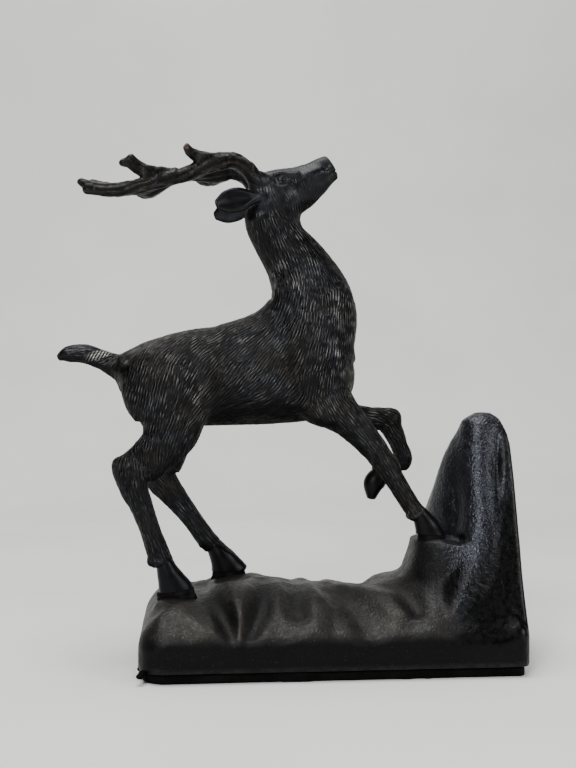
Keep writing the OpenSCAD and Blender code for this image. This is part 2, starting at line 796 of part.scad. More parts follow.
module hoof_studs() {
    color(steel)
        for (p = hoof_places)
            translate([p[0], p[1], stud_z])
                cylinder(r = stud_r, h = p[2] - stud_z, $fn = 24);
}

module stud_washers() {
    color(steel)
        for (p = hoof_places)
            translate([p[0], p[1], washer_z])
                difference() {
                    cylinder(r = washer_r, h = washer_t, $fn = 32);
                    translate([0, 0, -1])
                        cylinder(r = stud_r, h = washer_t + 2, $fn = 24);
                }
}

module stud_nuts() {
    color(steel)
        for (p = hoof_places)
            translate([p[0], p[1], nut_z])
                difference() {
                    cylinder(r = nut_r, h = nut_t, $fn = 6);
                    translate([0, 0, -1])
                        cylinder(r = stud_r, h = nut_t + 2, $fn = 24);
                }
}

// Bedding under a hoof: an oval cushion up to the sole, moulded to the rock.
module bed(i, half_len, half_w, low_z, sole_z) {
    difference() {
        as_mesh()
            difference() {
                translate([hoof_places[i][0], hoof_places[i][1], low_z])
                    scale([half_len, half_w, 1])
                        cylinder(r1 = 1.06, r2 = 0.97, h = sole_z - low_z, $fn = 28);
                rock();
            }
        translate([hoof_places[i][0], hoof_places[i][1], 0])
            cylinder(r = stud_r, h = upright_top, $fn = 24);
    }
}

module near_hind_bed() {
    color(black)
        bed(0, 7.4, 4.8, 22, near_sole);
}

module far_hind_bed() {
    color(black)
        bed(1, 7.2, 4.8, 24, far_sole);
}

module fore_bed() {
    color(black)
        bed(2, 5.8, 4.4, 44, fore_sole);
}

// ---------- drawing ----------

base_casting();
closing_plate();
plate_screws();
base_pad();
weight();
trunk();
head();
head_dowel();
near_antler();
far_antler();
antler_dowels();
near_ear();
far_ear();
tail();
tail_dowel();
near_hind_leg();
far_hind_leg();
near_foreleg();
far_foreleg();
leg_dowels();
hoof_studs();
stud_washers();
stud_nuts();
near_hind_bed();
far_hind_bed();
fore_bed();
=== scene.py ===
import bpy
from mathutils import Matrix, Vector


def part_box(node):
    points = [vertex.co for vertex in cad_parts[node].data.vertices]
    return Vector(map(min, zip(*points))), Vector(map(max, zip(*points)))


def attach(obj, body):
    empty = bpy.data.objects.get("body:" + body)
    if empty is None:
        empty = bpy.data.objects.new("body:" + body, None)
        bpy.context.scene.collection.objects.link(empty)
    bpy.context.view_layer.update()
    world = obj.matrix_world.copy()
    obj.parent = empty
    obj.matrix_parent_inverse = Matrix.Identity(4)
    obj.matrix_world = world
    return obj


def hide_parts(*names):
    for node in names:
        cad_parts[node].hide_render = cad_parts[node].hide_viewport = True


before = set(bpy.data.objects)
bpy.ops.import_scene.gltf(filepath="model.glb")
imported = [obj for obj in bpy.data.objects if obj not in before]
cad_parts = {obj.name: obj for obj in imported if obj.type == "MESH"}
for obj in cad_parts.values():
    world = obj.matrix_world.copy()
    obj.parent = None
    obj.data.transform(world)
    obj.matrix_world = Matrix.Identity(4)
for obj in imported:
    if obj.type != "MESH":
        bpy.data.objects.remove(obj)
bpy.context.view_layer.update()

import copy
import math

import bpy
import numpy as np
import openvdb
from mathutils import Vector

# Shapes are modelled in millimetres in the row frame and turned into metres when a mesh is made.
MM = 0.001
ROUGH = 1.0
STAG_CELL = 0.45 * ROUGH
FINE_CELL = 0.28 * ROUGH
BASE_CELL = 0.64 * ROUGH
SMALL_CELL = 0.24 * ROUGH
BED_CELL = 0.26 * ROUGH
PAD_CELL = 0.62 * ROUGH
FAR = 6.0  # distances are kept up to this far from a surface
CUT_REACH = 1.5  # how far round a cut the grid is changed
TINY = 1e-4  # keeps a division from one by zero
MARGIN = 2.0  # grid left round a CAD node


def box_mm(node):
    """Low and high corners of a CAD node."""
    low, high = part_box(node)
    return np.array(low) / MM, np.array(high) / MM


BASE_LOW, BASE_HIGH = box_mm("base_casting")
PAD_LOW, PAD_HIGH = box_mm("base_pad")


def sole(node, middle, slope):
    """Height of the sole of a leg at x, for a hoof with its sole at a slope."""
    low = box_mm(node)[0][2]
    return lambda x: low + slope * (x - middle)


NEAR_SOLE = sole("near_hind_leg", -41.0, 0.16)
FAR_SOLE = sole("far_hind_leg", -20.4, 0.03)
FORE_SOLE = sole("near_foreleg", 52.0, -0.04)

# ---------- curves and noise ----------


def curve(stations, steps=10):
    """Points on a Catmull-Rom curve through the stations, `steps` for every gap."""
    s = np.array(stations, float)
    p = np.vstack([s[:1], s, s[-1:]])
    t = (np.arange(steps) / steps)[:, None]
    rows = []
    for a, b, c, d in zip(p[:-3], p[1:-2], p[2:-1], p[3:]):
        rows.append(0.5 * (2 * b + (c - a) * t + (2 * a - 5 * b + 4 * c - d) * t**2
                           + (3 * b - 3 * c + d - a) * t**3))
    return np.vstack(rows + [s[-1:]])


def noise(points, size, seed):
    """Smooth value noise from -1 to 1 with lumps about `size` across."""
    count = 32
    grid = np.random.default_rng(seed).random((count, count, count)).astype(np.float32)
    q = np.asarray(points, np.float32) / size + 100.0
    i = np.floor(q).astype(int)
    f = q - i
    f = f * f * (3 - 2 * f)
    i %= count
    j = (i + 1) % count
    total = 0
    for dx, wx in ((i[..., 0], 1 - f[..., 0]), (j[..., 0], f[..., 0])):
        for dy, wy in ((i[..., 1], 1 - f[..., 1]), (j[..., 1], f[..., 1])):
            for dz, wz in ((i[..., 2], 1 - f[..., 2]), (j[..., 2], f[..., 2])):
                total = total + grid[dx, dy, dz] * wx * wy * wz
    return 2 * total - 1


def ramp(value, start, end):
    """0 up to `start`, 1 from `end`, smooth between them."""
    t = np.clip((value - start) / (end - start), 0, 1)
    return t * t * (3 - 2 * t)


# ---------- solids as signed distances on a grid ----------


def blend_in(a, b, soft):
    """The nearer of two distances, rounded over `soft` where they meet."""
    if soft <= 0:
        return np.minimum(a, b)
    h = np.maximum(soft - np.abs(a - b), 0) / soft
    return np.minimum(a, b) - h * h * soft / 4


def oval_distance(offsets, sizes):
    """About the distance to an ellipse or ellipsoid with these half sizes, negative inside."""
    k0 = np.sqrt(sum((d / r) ** 2 for d, r in zip(offsets, sizes)))
    k1 = np.sqrt(sum((d / r**2) ** 2 for d, r in zip(offsets, sizes))) + TINY
    return (k0 * (k0 - 1) / k1).astype(np.float32)


def corner_distance(dx, dy, r):
    """Distance to a corner rounded by r, from how far a point is past the inset edges each way."""
    return np.sqrt(np.maximum(dx, 0) ** 2 + np.maximum(dy, 0) ** 2) + np.minimum(np.maximum(dx, dy), 0) - r


class Sculpt:
    """Distances in millimetres on a grid, negative inside."""

    def __init__(self, low, high, cell):
        self.cell = cell
        self.low = np.array(low, float)
        self.count = np.ceil((np.array(high) - self.low) / cell).astype(int) + 1
        self.axes = [self.low[k] + cell * np.arange(self.count[k]) for k in range(3)]
        self.d = np.full(self.count, FAR, np.float32)

    def grid(self):
        """The axes as three arrays that broadcast to the whole grid."""
        x, y, z = self.axes
        return x[:, None, None], y[None, :, None], z[None, None, :]

    def window(self, low, high):
        """The part of the grid in a box, as slices and as arrays that broadcast."""
        i = np.clip(np.floor((np.array(low) - self.low) / self.cell).astype(int), 0, self.count)
        j = np.clip(np.ceil((np.array(high) - self.low) / self.cell).astype(int) + 1, 0, self.count)
        part = tuple(slice(a, b) for a, b in zip(i, j))
        x, y, z = (self.axes[k][part[k]] for k in range(3))
        return part, x[:, None, None], y[None, :, None], z[None, None, :]

    def add(self, shape, soft=0.0):
        part, x, y, z = self.window(*shape.reach(FAR))
        if self.d[part].size:
            self.d[part] = blend_in(self.d[part], shape(x, y, z), soft)

    def cut(self, shape, soft=0.0):
        part, x, y, z = self.window(*shape.reach(CUT_REACH))
        if self.d[part].size:
            self.d[part] = -blend_in(-self.d[part], shape(x, y, z), soft)

    def keep(self, distance):
        """Keeps only what is inside `distance`, which broadcasts to the grid."""
        self.d = np.maximum(self.d, distance).astype(np.float32)

    def inside(self, distance):
        """What is left of the solid inside another one, given as distances on the whole grid."""
        other = copy.copy(self)
        other.d = np.maximum(self.d, distance(*self.grid()))
        return other

    def sample(self, p):
        """Distances at points, from the eight grid points round each."""
        q = (p - self.low) / self.cell
        q = np.clip(q, 0, self.count - 1.001)
        i = q.astype(int)
        f = (q - i).astype(np.float32)
        total = 0
        for dx in (0, 1):
            for dy in (0, 1):
                for dz in (0, 1):
                    w = ((f[:, 0] if dx else 1 - f[:, 0]) * (f[:, 1] if dy else 1 - f[:, 1])
                         * (f[:, 2] if dz else 1 - f[:, 2]))
                    total = total + self.d[i[:, 0] + dx, i[:, 1] + dy, i[:, 2] + dz] * w
        return total

    def gradient(self, p):
        """Unit vectors straight out of the solid at points."""
        e = self.cell * 0.7
        g = np.stack([self.sample(p + e * k) - self.sample(p - e * k) for k in np.eye(3)], 1)
        return g / np.maximum(np.linalg.norm(g, axis=1, keepdims=True), 1e-6)

    def surface(self):
        """Vertices in millimetres and faces of four corners."""
        grid = openvdb.FloatGrid(FAR)
        grid.copyFromArray(np.clip(self.d, -FAR, FAR).astype(np.float32))
        points, _, quads = grid.convertToPolygons(isovalue=0.0, adaptivity=0.0)
        return points * self.cell + self.low, quads[:, ::-1]


class Tube:
    """A limb through stations [x, y, z, half size in the side view, half size across]."""

    def __init__(self, stations, cap=0.35):
        self.rows = curve(stations)
        self.cap = cap  # how round the ends are: 1 for a half ball, less for flatter

    def reach(self, more):
        r = self.rows
        size = np.stack([r[:, 3], r[:, 4], r[:, 3]], 1) + more
        return (r[:, :3] - size).min(0), (r[:, :3] + size).max(0)

    def nearest(self, x, z):
        """For points of the side view: place along the rows, distance from them, and how far past an end."""
        r = self.rows
        shape = np.broadcast(x, z).shape
        px = np.broadcast_to(x, shape).ravel()
        pz = np.broadcast_to(z, shape).ravel()
        best = np.full(px.size, 1e9)
        where = np.zeros(px.size, int)
        for k in range(len(r)):
            d = (px - r[k, 0]) ** 2 + (pz - r[k, 2]) ** 2
            near = d < best
            best[near] = d[near]
            where[near] = k
        tangent = np.gradient(r[:, [0, 2]], axis=0)
        length = np.linalg.norm(tangent, axis=1)
        tangent /= length[:, None]
        dx, dz = px - r[where, 0], pz - r[where, 2]
        along = dx * tangent[where, 0] + dz * tangent[where, 1]
        across = np.abs(dx * tangent[where, 1] - dz * tangent[where, 0])
        pos = np.clip(where + along / length[where], 0, len(r) - 1)
        beyond = np.where(where == 0, np.minimum(along, 0), 0)
        beyond = beyond + np.where(where == len(r) - 1, np.maximum(along, 0), 0)
        return pos.reshape(shape), across.reshape(shape), beyond.reshape(shape)

    def at(self, pos, column):
        return np.interp(pos, np.arange(len(self.rows)), self.rows[:, column])

    def __call__(self, x, y, z):
        on_grid = x.ndim == 3
        pos, across, beyond = self.nearest(*((x[:, 0, :], z[:, 0, :]) if on_grid else (x, z)))
        a, b, middle = self.at(pos, 3), self.at(pos, 4), self.at(pos, 1)
        if on_grid:
            a, b, middle, across, beyond = (v[:, None, :] for v in (a, b, middle, across, beyond))
        return oval_distance((np.sqrt(across**2 + (beyond / self.cap) ** 2), y - middle), (a, b))


class Lump:
    """An ellipsoid, turned about the Y axis by `turn` degrees (positive lifts its +X end)."""

    def __init__(self, centre, size, turn=0.0):
        self.c, self.r = np.array(centre, float), np.array(size, float)
        self.turn = math.radians(turn)

    def reach(self, more):
        r = max(self.r) + more
        return self.c - r, self.c + r

    def __call__(self, x, y, z):
        dx, dy, dz = x - self.c[0], y - self.c[1], z - self.c[2]
        c, s = math.cos(self.turn), math.sin(self.turn)
        return oval_distance((c * dx + s * dz, dy, -s * dx + c * dz), self.r)


class Cord:
    """A round bead along a curve through points [x, y, z, radius]."""

    def __init__(self, points):
        self.p = curve(points, 4)

    def reach(self, more):
        r = self.p[:, 3:].max() + more
        return self.p[:, :3].min(0) - r, self.p[:, :3].max(0) + r

    def __call__(self, x, y, z):
        best = None
        for a, b in zip(self.p[:-1], self.p[1:]):
            d = b[:3] - a[:3]
            ax, ay, az = x - a[0], y - a[1], z - a[2]
            t = np.clip((ax * d[0] + ay * d[1] + az * d[2]) / max(d @ d, 1e-9), 0, 1)
            gap = np.sqrt((ax - t * d[0]) ** 2 + (ay - t * d[1]) ** 2 + (az - t * d[2]) ** 2)
            gap = gap - (a[3] + t * (b[3] - a[3]))
            best = gap if best is None else np.minimum(best, gap)
        return best.astype(np.float32)


def mirrored(stations):
    """The same stations on the other side of the stag."""
    return [[x, -y, *rest] for x, y, *rest in stations]


# ---------- the stag ----------

# Stations of its limbs: [x, y, z, half size in the side view, half size across].
BARREL = [
    [-62.5, 0, 108, 2.5, 3], [-60, 0, 107.6, 7, 7], [-54, 0, 106.4, 11.6, 11], [-45, 0, 105.2, 15.4, 13],
    [-34, 0, 104.9, 17.8, 13], [-22, 0, 105.6, 18.7, 13], [-10, 0, 107, 19.8, 13.3],
    [2, 0, 108.6, 20.6, 13.8], [12, 0, 110, 20.2, 13.4], [16.6, 0, 111.6, 17.4, 12],
    [20.8, 0, 113.6, 12, 9], [23.2, 0, 115, 4.5, 4],
]
NECK = [
    [12.6, 0, 112, 13, 12], [12.2, 0, 121, 15, 12.6], [11.6, 0, 129, 15.6, 12], [9.6, 0, 137, 14.5, 10.8],
    [4.8, 0, 147, 11.9, 9.4], [-1.2, 0, 155.5, 10, 8.4], [-4.4, 0, 163, 10.2, 7.9],
    [-5.5, 0, 168, 9.4, 7],
]
WITHERS = [[-20, 0, 116, 7, 8], [-12, 0, 119.6, 7.2, 8], [-6.4, 0, 123.6, 6.8, 7.6], [-1.6, 0, 130, 5, 7]]
SKULL = [
    [-12.6, 0, 172.6, 3.5, 4], [-11, 0, 172.8, 6.6, 6.4], [-7, 0, 172.8, 8.9, 7.6],
    [-1, 0, 173.4, 9.6, 7.5], [5.4, 0, 175.8, 8.4, 6.3], [10.6, 0, 179, 6.8, 4.9],
    [14.6, 0, 182, 5.7, 4.2], [17.6, 0, 183.8, 4.9, 3.8],
]
NEAR_THIGH = [
    [-46, -7.6, 108, 13, 4.4], [-45, -7.6, 100, 14.6, 6], [-41.6, -7.6, 92, 12.8, 6.2],
    [-41.5, -8.2, 85, 10, 5.2], [-44, -9.2, 79, 7.4, 3.8], [-46.6, -10.2, 74.4, 3.4, 1.8],
]
FAR_THIGH = [
    [-45, 7.6, 108, 13, 4.4], [-43, 7.6, 100, 15, 6], [-41, 7.6, 92, 11.6, 6.2], [-41.4, 8.2, 85, 8.4, 5],
    [-43.6, 9.4, 79, 5.4, 3], [-46, 10, 75, 2.4, 1.4],
]
SHOULDER = [
    [4, -8, 118, 8, 4], [8.4, -8, 110, 11, 6], [12.6, -8, 101, 10.6, 6.4], [18.4, -8, 93, 7.4, 5.4],
    [23.4, -8.6, 87, 4.6, 3.4], [27.6, -9.4, 82.6, 2, 1.4],
]
ELBOW = [[8, -9, 98, 6, 4], [13, -9, 92, 5.4, 4.6], [17, -9, 89.8, 3.4, 3.6]]
NEAR_HIND = [
    [-43, -7, 101, 3.6, 2], [-43.4, -8.8, 92, 8.4, 4.4], [-44.6, -10, 82, 8, 5.2],
    [-49.4, -10.8, 75.6, 7.8, 4.6], [-54.8, -11.2, 70.4, 7, 4.3], [-55, -11.6, 65, 5.4, 3.8],
    [-52.6, -11.9, 59, 4.2, 3.3], [-49.4, -12.2, 50, 3.7, 3.1], [-46.6, -12.6, 42, 4, 3.2],
    [-44.9, -12.8, 38.2, 3.9, 3.4],
]
NEAR_HOOF = [
    [-44.4, -12.8, 39, 3, 3], [-43, -12.8, 35, 4, 3.7], [-41.6, -12.8, 31.6, 5.2, 4.1],
    [-40.3, -12.8, 28.4, 6.3, 4.4], [-39.7, -12.8, 25.6, 6.9, 4.5],
]
FAR_HIND = [
    [-40, 7, 101, 4, 2], [-41, 8.8, 92, 8.8, 4.4], [-42.2, 10, 82, 7.8, 5.2], [-45.2, 10.4, 74, 7.8, 4.6],
    [-46.4, 10.8, 67, 6.2, 4.2], [-41, 11.4, 59.4, 4.7, 3.5], [-34.6, 12, 51, 3.8, 3.1],
    [-29.4, 12.4, 43.6, 3.8, 3.2], [-26.6, 12.6, 40.6, 3.7, 3.3],
]
FAR_HOOF = [
    [-26.4, 12.6, 41, 3, 3], [-24.4, 12.6, 38, 4, 3.7], [-22.4, 12.6, 34.8, 5.2, 4.1],
    [-21, 12.6, 31.8, 6.4, 4.4], [-20, 12.6, 29.6, 7.2, 4.4],
]
NEAR_FORE = [
    [10, -7, 106, 3, 2], [16.6, -8.6, 97.4, 6, 4.2], [23.6, -9.6, 88.6, 6, 4.6],
    [31.6, -10.2, 79.6, 5, 3.9], [36, -10.8, 73.4, 4.2, 3.4], [41, -11.4, 65.4, 3.6, 3],
    [45.6, -11.8, 58, 3.4, 3], [48.6, -12, 54.2, 3.4, 3.3],
]
FORE_HOOF = [
    [48.4, -12, 56, 2.6, 2.8], [50.3, -12, 52.6, 3.7, 3.5], [51.9, -12, 49.6, 4.7, 3.9],
    [53, -12, 46, 5.6, 4.1],
]
FAR_FORE = [
    [8, 7.4, 96, 2.6, 2], [17, 9, 92.4, 5.4, 4.2], [26, 9.8, 89.8, 5.4, 4.6], [34, 10.2, 89, 4.6, 3.9],
    [40, 10.6, 88.4, 4.4, 3.7], [43.4, 10.8, 84, 4, 3.4], [45.8, 11, 78.4, 3.4, 3],
    [47.6, 11, 73.4, 3.4, 3.2], [46.4, 11, 70.2, 2.7, 2.6],
]
RAISED_HOOF = [
    [48, 11, 72.6, 2.3, 2.4], [42.6, 10.6, 69, 3, 3], [38.4, 10.2, 67, 3.8, 3.6],
    [35.6, 10, 63.6, 4, 3.8], [34.6, 10, 58.4, 1.8, 2.4],
]
TAIL = [
    [-57, 0, 107.6, 6, 4.6], [-62, 0, 109, 4.6, 4], [-68, 0, 111.6, 3.6, 3.6], [-74, 0, 113.6, 3.5, 3.8],
    [-80, 0, 113.4, 2.9, 3.2], [-83.3, 0, 112, 1.2, 1.4],
]
NEAR_BEAM = [
    [-10, -5, 176, 3.2, 3.2], [-14, -6.4, 181.2, 3.1, 3.1], [-19.6, -7.4, 184.2, 3, 3],
    [-27, -8, 182.8, 2.9, 2.9], [-36, -8.4, 179, 2.8, 2.8], [-46, -8.8, 176, 2.7, 2.7],
    [-55, -9, 173.6, 2.7, 2.6], [-64, -8.6, 172.6, 2.6, 2.5], [-72.4, -8, 173.6, 2.5, 2.4],
]
FAR_BEAM = [
    [-10, 5, 176, 3.2, 3.2], [-14, 6, 181, 3.1, 3.1], [-20, 6.4, 182.8, 2.8, 2.8],
    [-28, 6.8, 182, 2.7, 2.7], [-37, 7, 181.6, 2.5, 2.5], [-44, 7, 179.2, 2.5, 2.5],
    [-51, 7, 176.6, 2.5, 2.5], [-58, 7, 175.8, 2.4, 2.4], [-65, 6.8, 175.6, 2.4, 2.4],
    [-72, 6.4, 176.8, 2.3, 2.3],
]
NEAR_BROW = [
    [-22, -7.8, 184, 2.7, 2.7], [-29, -8.8, 184.6, 2.5, 2.5], [-34, -9.6, 186, 2.1, 2.1],
    [-36.6, -10.2, 188.4, 1.4, 1.4],
]
NEAR_TINE = [
    [-41, -9, 178.2, 2.4, 2.4], [-49, -9.8, 179, 2.6, 2.6], [-54, -10.4, 180.8, 2.5, 2.5],
    [-57, -10.8, 183, 2.4, 2.4],
]
FAR_BROW = [
    [-22, 6.6, 182, 2.6, 2.4], [-27, 9, 181, 3.2, 3], [-30.6, 11, 181.6, 3, 2.8],
    [-33, 12, 183.4, 1.8, 1.8],
]
FAR_TINE = [
    [-45, 7, 178.4, 2.4, 2.2], [-50, 9, 175.8, 3, 2.8], [-53.6, 11, 175.8, 2.6, 2.6],
    [-56, 12, 177, 1.6, 1.6],
]
EAR = [
    [-8.4, -6, 171.4, 2, 1.6], [-12, -8.2, 170.8, 2.6, 1.5], [-17, -10.6, 169.6, 4.5, 1.5],
    [-22, -12.2, 168.2, 4.1, 1.3], [-25.4, -13.2, 167.2, 1.8, 0.8],
]
EAR_HOLLOW = [
    [-11, -10.2, 171, 1, 0.9], [-17, -12.6, 169.6, 3.3, 1.5], [-22, -13.9, 168.3, 3, 1.3],
    [-24.6, -14.4, 167.4, 1, 0.6],
]

# Where the castings meet: a point on the joint and the angle of its normal in the side view.
NECK_JOINT = ((-4.6, 163.6), 93.0)
FORE_JOINT = ((24.0, 89.4), -59.0)
HIP_Z = 84.0
HIND_END_X = 2.0
FORE_TOP_Z = 98.0
FAR_FORE_X, FAR_FORE_LOW_Z, FAR_FORE_TOP_Z = 25.0, 40.0, 96.0
TAIL_SEAT = 0.15  # how far the tail goes into the rump


def plane(joint):
    """Signed distance from a joint, positive on the side its normal points to."""
    (px, pz), angle = joint
    nx, nz = math.cos(math.radians(angle)), math.sin(math.radians(angle))
    return lambda x, y, z: (x - px) * nx + (z - pz) * nz + 0 * y


# A room is the space that a casting fills: a signed distance, negative inside.


def near_hind_room(x, y, z):
    return np.maximum(np.maximum(z - HIP_Z, y), x - HIND_END_X)


def far_hind_room(x, y, z):
    return near_hind_room(x, -y, z)


def near_fore_room(x, y, z):
    return np.maximum(np.maximum(-plane(FORE_JOINT)(x, y, z), y), np.maximum(z - FORE_TOP_Z, -x))


def far_fore_room(x, y, z):
    return np.maximum(np.maximum(FAR_FORE_X - x, -y), np.maximum(z - FAR_FORE_TOP_Z, FAR_FORE_LOW_Z - z))


def head_room(x, y, z):
    return -plane(NECK_JOINT)(x, y, z)


def trunk_room(x, y, z):
    """What the legs and the head leave."""
    rooms = [near_hind_room, far_hind_room, near_fore_room, far_fore_room, head_room]
    return -np.minimum.reduce([np.broadcast_to(r(x, y, z), np.broadcast(x, y, z).shape) for r in rooms])


def body_steps():
    """The trunk and legs as a list of (add or cut, shape, softness)."""
    steps = [("add", Tube(BARREL), 0), ("add", Tube(NECK), 6), ("add", Tube(WITHERS), 5),
             ("add", Tube(NEAR_THIGH), 3.5), ("add", Tube(FAR_THIGH), 3.5)]
    for shoulder, elbow in ((SHOULDER, ELBOW), (mirrored(SHOULDER), mirrored(ELBOW))):
        steps += [("add", Tube(shoulder), 3.5), ("add", Tube(elbow), 2.5)]
    # Haunch, belly, side of the neck and filler behind it, then the hollows of flank and elbow.
    for side in (-1, 1):
        steps += [
            ("add", Lump([-47, 8.6 * side, 102], [11, 5.4, 13], 20), 4),
            ("add", Lump([-10, 7 * side, 104], [17, 8, 13]), 4),
            ("add", Lump([9.4, 8.4 * side, 122], [7, 4.6, 11], -12), 5),
            ("add", Lump([2, 7.2 * side, 134.5], [6, 2.4, 7], 20), 4),
            ("cut", Lump([-31, 17.6 * side, 100], [3.4, 4.6, 10], -14), 4),
            ("cut", Lump([0.6, 17.2 * side, 104], [2.6, 3.6, 12], 14), 4),
        ]
    steps += leg_steps(NEAR_HIND, NEAR_HOOF, [-48.8, -12.6, 39.4], 8, [-34.8, -12.8, 32.4], 48)
    steps += leg_steps(FAR_HIND, FAR_HOOF, [-30.2, 12.4, 42], 20, [-15, 12.6, 34.8], 48)
    steps += leg_steps(NEAR_FORE, FORE_HOOF, [46, -12, 54.8], 20, [57.4, -12, 50.2], 40)
    # Point of each hock, with a groove in front of the tendon on both of its sides.
    for y, x, z, lift in ((-11.2, -59.8, 72, 0), (10.6, -51.2, 70.4, 2)):
        steps += [("add", Lump([x, y, z], [3.2, 2.4, 4.2], 20), 2.5)]
        for out in (-4.6, 4.6):
            steps.append(("cut", Lump([x + 5.4, y + out, z + 4.6 + lift], [1.6, 1.6, 6], 36), 2.2))
    # Near knee, then the raised foreleg with its knee, hoof, dew claws and cleft.
    steps += [("add", Lump([36.6, -10.8, 73.6], [3.4, 3.2, 5.4], 56), 2),
              ("add", Tube(FAR_FORE), 3),
              ("add", Lump([42.6, 10.6, 89.2], [4, 3.6, 3.8]), 2),
              ("add", Tube(RAISED_HOOF), 1)]
    steps += [("add", Lump([37.2, y, 70.2], [1.5, 1.2, 2.2], -60), 0.6) for y in (9, 11.6)]
    return steps + [("cut", Lump([32.4, 10.1, 60], [4.4, 0.4, 5.6], 12), 0.5)]


def leg_steps(leg, hoof, claw, turn, cleft, slope):
    """A standing leg: its hoof with two dew claws round the point `claw`, and a cleft in front."""
    x, y, z = claw
    return [("add", Tube(leg, cap=0.2), 2.5),
            ("add", Lump([x, y - 1.7, z], [1.7, 1.3, 2.4], -turn), 0.8),
            ("add", Lump([x, y + 1.7, z], [1.7, 1.3, 2.4], -turn), 0.8),
            ("add", Tube(hoof), 0.5),
            ("cut", Lump(cleft, [1.3, 0.42, 6.6], slope - 90), 0.6)]


def head_steps():
    """Cheek, bridge, brow, eye with its lids, nostril, lip and antler boss on each side, and the mouth."""
    steps = [("add", Tube(NECK), 0), ("add", Tube(SKULL, cap=0.22), 3)]
    for s in (-1, 1):
        back_corner, front_corner = [-3.6, 6.3 * s, 177, 0.25], [1, 6.3 * s, 177.9, 0.25]
        steps += [
            ("add", Lump([-3, 4.8 * s, 170.6], [5.6, 3.2, 5.4], 10), 2.5),
            ("add", Lump([8, 3.6 * s, 178.6], [7, 2.2, 2.6], 30), 2),
            ("add", Cord([[-5.6, 5.9 * s, 179, 0.7], [-2.6, 6.3 * s, 180, 0.9], [1.4, 5.9 * s, 179.6, 0.7],
                          [4, 5.2 * s, 180, 0.5]]), 2),
            ("cut", Lump([-1.4, 8 * s, 177.6], [2.7, 1.6, 1.8], 8), 1.2),
            ("add", Lump([-1.5, 6.3 * s, 177.6], [1.6, 1.05, 1.1], 8), 0),
            ("add", Cord([back_corner, [-2.4, 6.8 * s, 178.3, 0.38], [-0.6, 6.9 * s, 178.7, 0.38],
                          front_corner]), 0.5),
            ("add", Cord([back_corner, [-2.2, 6.9 * s, 176.5, 0.34], [-0.4, 6.9 * s, 176.7, 0.34],
                          front_corner]), 0.5),
            ("cut", Lump([15.6, 4.4 * s, 183.4], [1.5, 0.9, 0.8], 35), 0.9),
            ("cut", Cord([[18.6, 3.2 * s, 181.6, 0.3], [15, 4.4 * s, 178.6, 0.3],
                          [11.4, 5.1 * s, 175.4, 0.24], [8.6, 5.8 * s, 172.6, 0.16]]), 0.5),
            ("add", Lump([-10.4, 5.2 * s, 177.2], [3.2, 2.9, 4.0], -30), 2.4),
            ("add", Lump([-9.4, 6.2 * s, 171.4], [2.6, 2, 2.4]), 1.5),
        ]
    steps += [("cut", Lump([19.6, 0, 182.2], [1.5, 3.4, 0.35], 18), 0.4)]
    return steps


# Swollen knobs and dents at the ends of the antlers.
NEAR_KNOBS = [("add", Lump([-58.8, -10.8, 182.2], [1.9, 1.9, 1.5], 20), 1.2),
              ("add", Lump([-73.8, -8, 175.2], [1.9, 1.8, 1.5], -30), 1.2),
              ("cut", Lump([-75.2, -9.8, 173.2], [1.2, 1.2, 1.2]), 0.6),
              ("cut", Lump([-59.4, -12.4, 184], [1.0, 1.1, 0.9]), 0.6)]
FAR_KNOBS = [("add", Lump([-73.6, 6.4, 177.4], [1.6, 1.6, 1.4], -30), 0.8)]


def sculpt(steps, node, cell):
    """Works the steps on a grid round a CAD node."""
    low, high = box_mm(node)
    s = Sculpt(low - MARGIN, high + MARGIN, cell)
    for op, shape, soft in steps:
        (s.add if op == "add" else s.cut)(shape, soft)
    return s


# ---------- coat: direction of the hair, cut strokes, what is worn, and where highlight and shade are painted ---

# Lie of the coat in the side view: [x, z, angle in degrees].
COAT = [
    [-60, 104, 72], [-52, 112, 70], [-50, 96, 78], [-40, 116, 56], [-44, 104, 76], [-44, 88, 72],
    [-28, 118, 40], [-30, 104, 56], [-30, 92, 48], [-14, 122, 42], [-14, 108, 50], [-14, 92, 24],
    [0, 126, 62], [-2, 112, 56], [0, 96, 46], [2, 88, 12], [10, 116, 74], [10, 102, 76], [14, 92, 120],
    [22, 108, 80], [24, 120, 84], [8, 130, 84], [24, 134, 76], [10, 142, 100], [20, 146, 118],
    [0, 148, 112], [6, 156, 122], [-6, 158, 106], [0, 166, 118], [-10, 166, 100], [-70, 112, 20],
    [-80, 113, 4],
]
COAT_REACH = 7.0
COAT_EVEN = 1e-3
COAT_RISE, CUT_DEPTH = 0.11, 0.36
LEG_HEIGHT = 78.0  # bare metal below this is a hoof, and above it the face


def leg_lie(stations):
    """Down a leg the coat lies along the leg."""
    s = np.array(stations, float)
    d = np.gradient(s[:, [0, 2]], axis=0)
    return [[x, z, a] for (x, z), a in zip(s[:, [0, 2]], np.degrees(np.arctan2(d[:, 1], d[:, 0])))]


NEAR_LIE = np.array(COAT + leg_lie(NEAR_HIND[4:]) + leg_lie(NEAR_FORE[2:]))
FAR_LIE = np.array(COAT + leg_lie(FAR_HIND[4:]) + leg_lie(FAR_FORE[2:]))


def coat_flow(p, normals):
    """Unit vectors along the coat, in the surface."""
    flow = np.zeros_like(p)
    for lie, here in ((NEAR_LIE, p[:, 1] < 0), (FAR_LIE, p[:, 1] >= 0)):
        q = p[here]
        c = s = 0
        for x, z, angle in lie:
            w = 1 / (COAT_EVEN + (((q[:, 0] - x) ** 2 + (q[:, 2] - z) ** 2) / COAT_REACH**2) ** 2)
            c = c + w * math.cos(math.radians(2 * angle))
            s = s + w * math.sin(math.radians(2 * angle))
        a = np.arctan2(s, c) / 2
        flow[here] = np.stack([np.cos(a), 0 * a, np.sin(a)], 1)
    flow -= normals * (flow * normals).sum(1, keepdims=True)
    flow += 1e-5
    return flow / np.linalg.norm(flow, axis=1, keepdims=True)


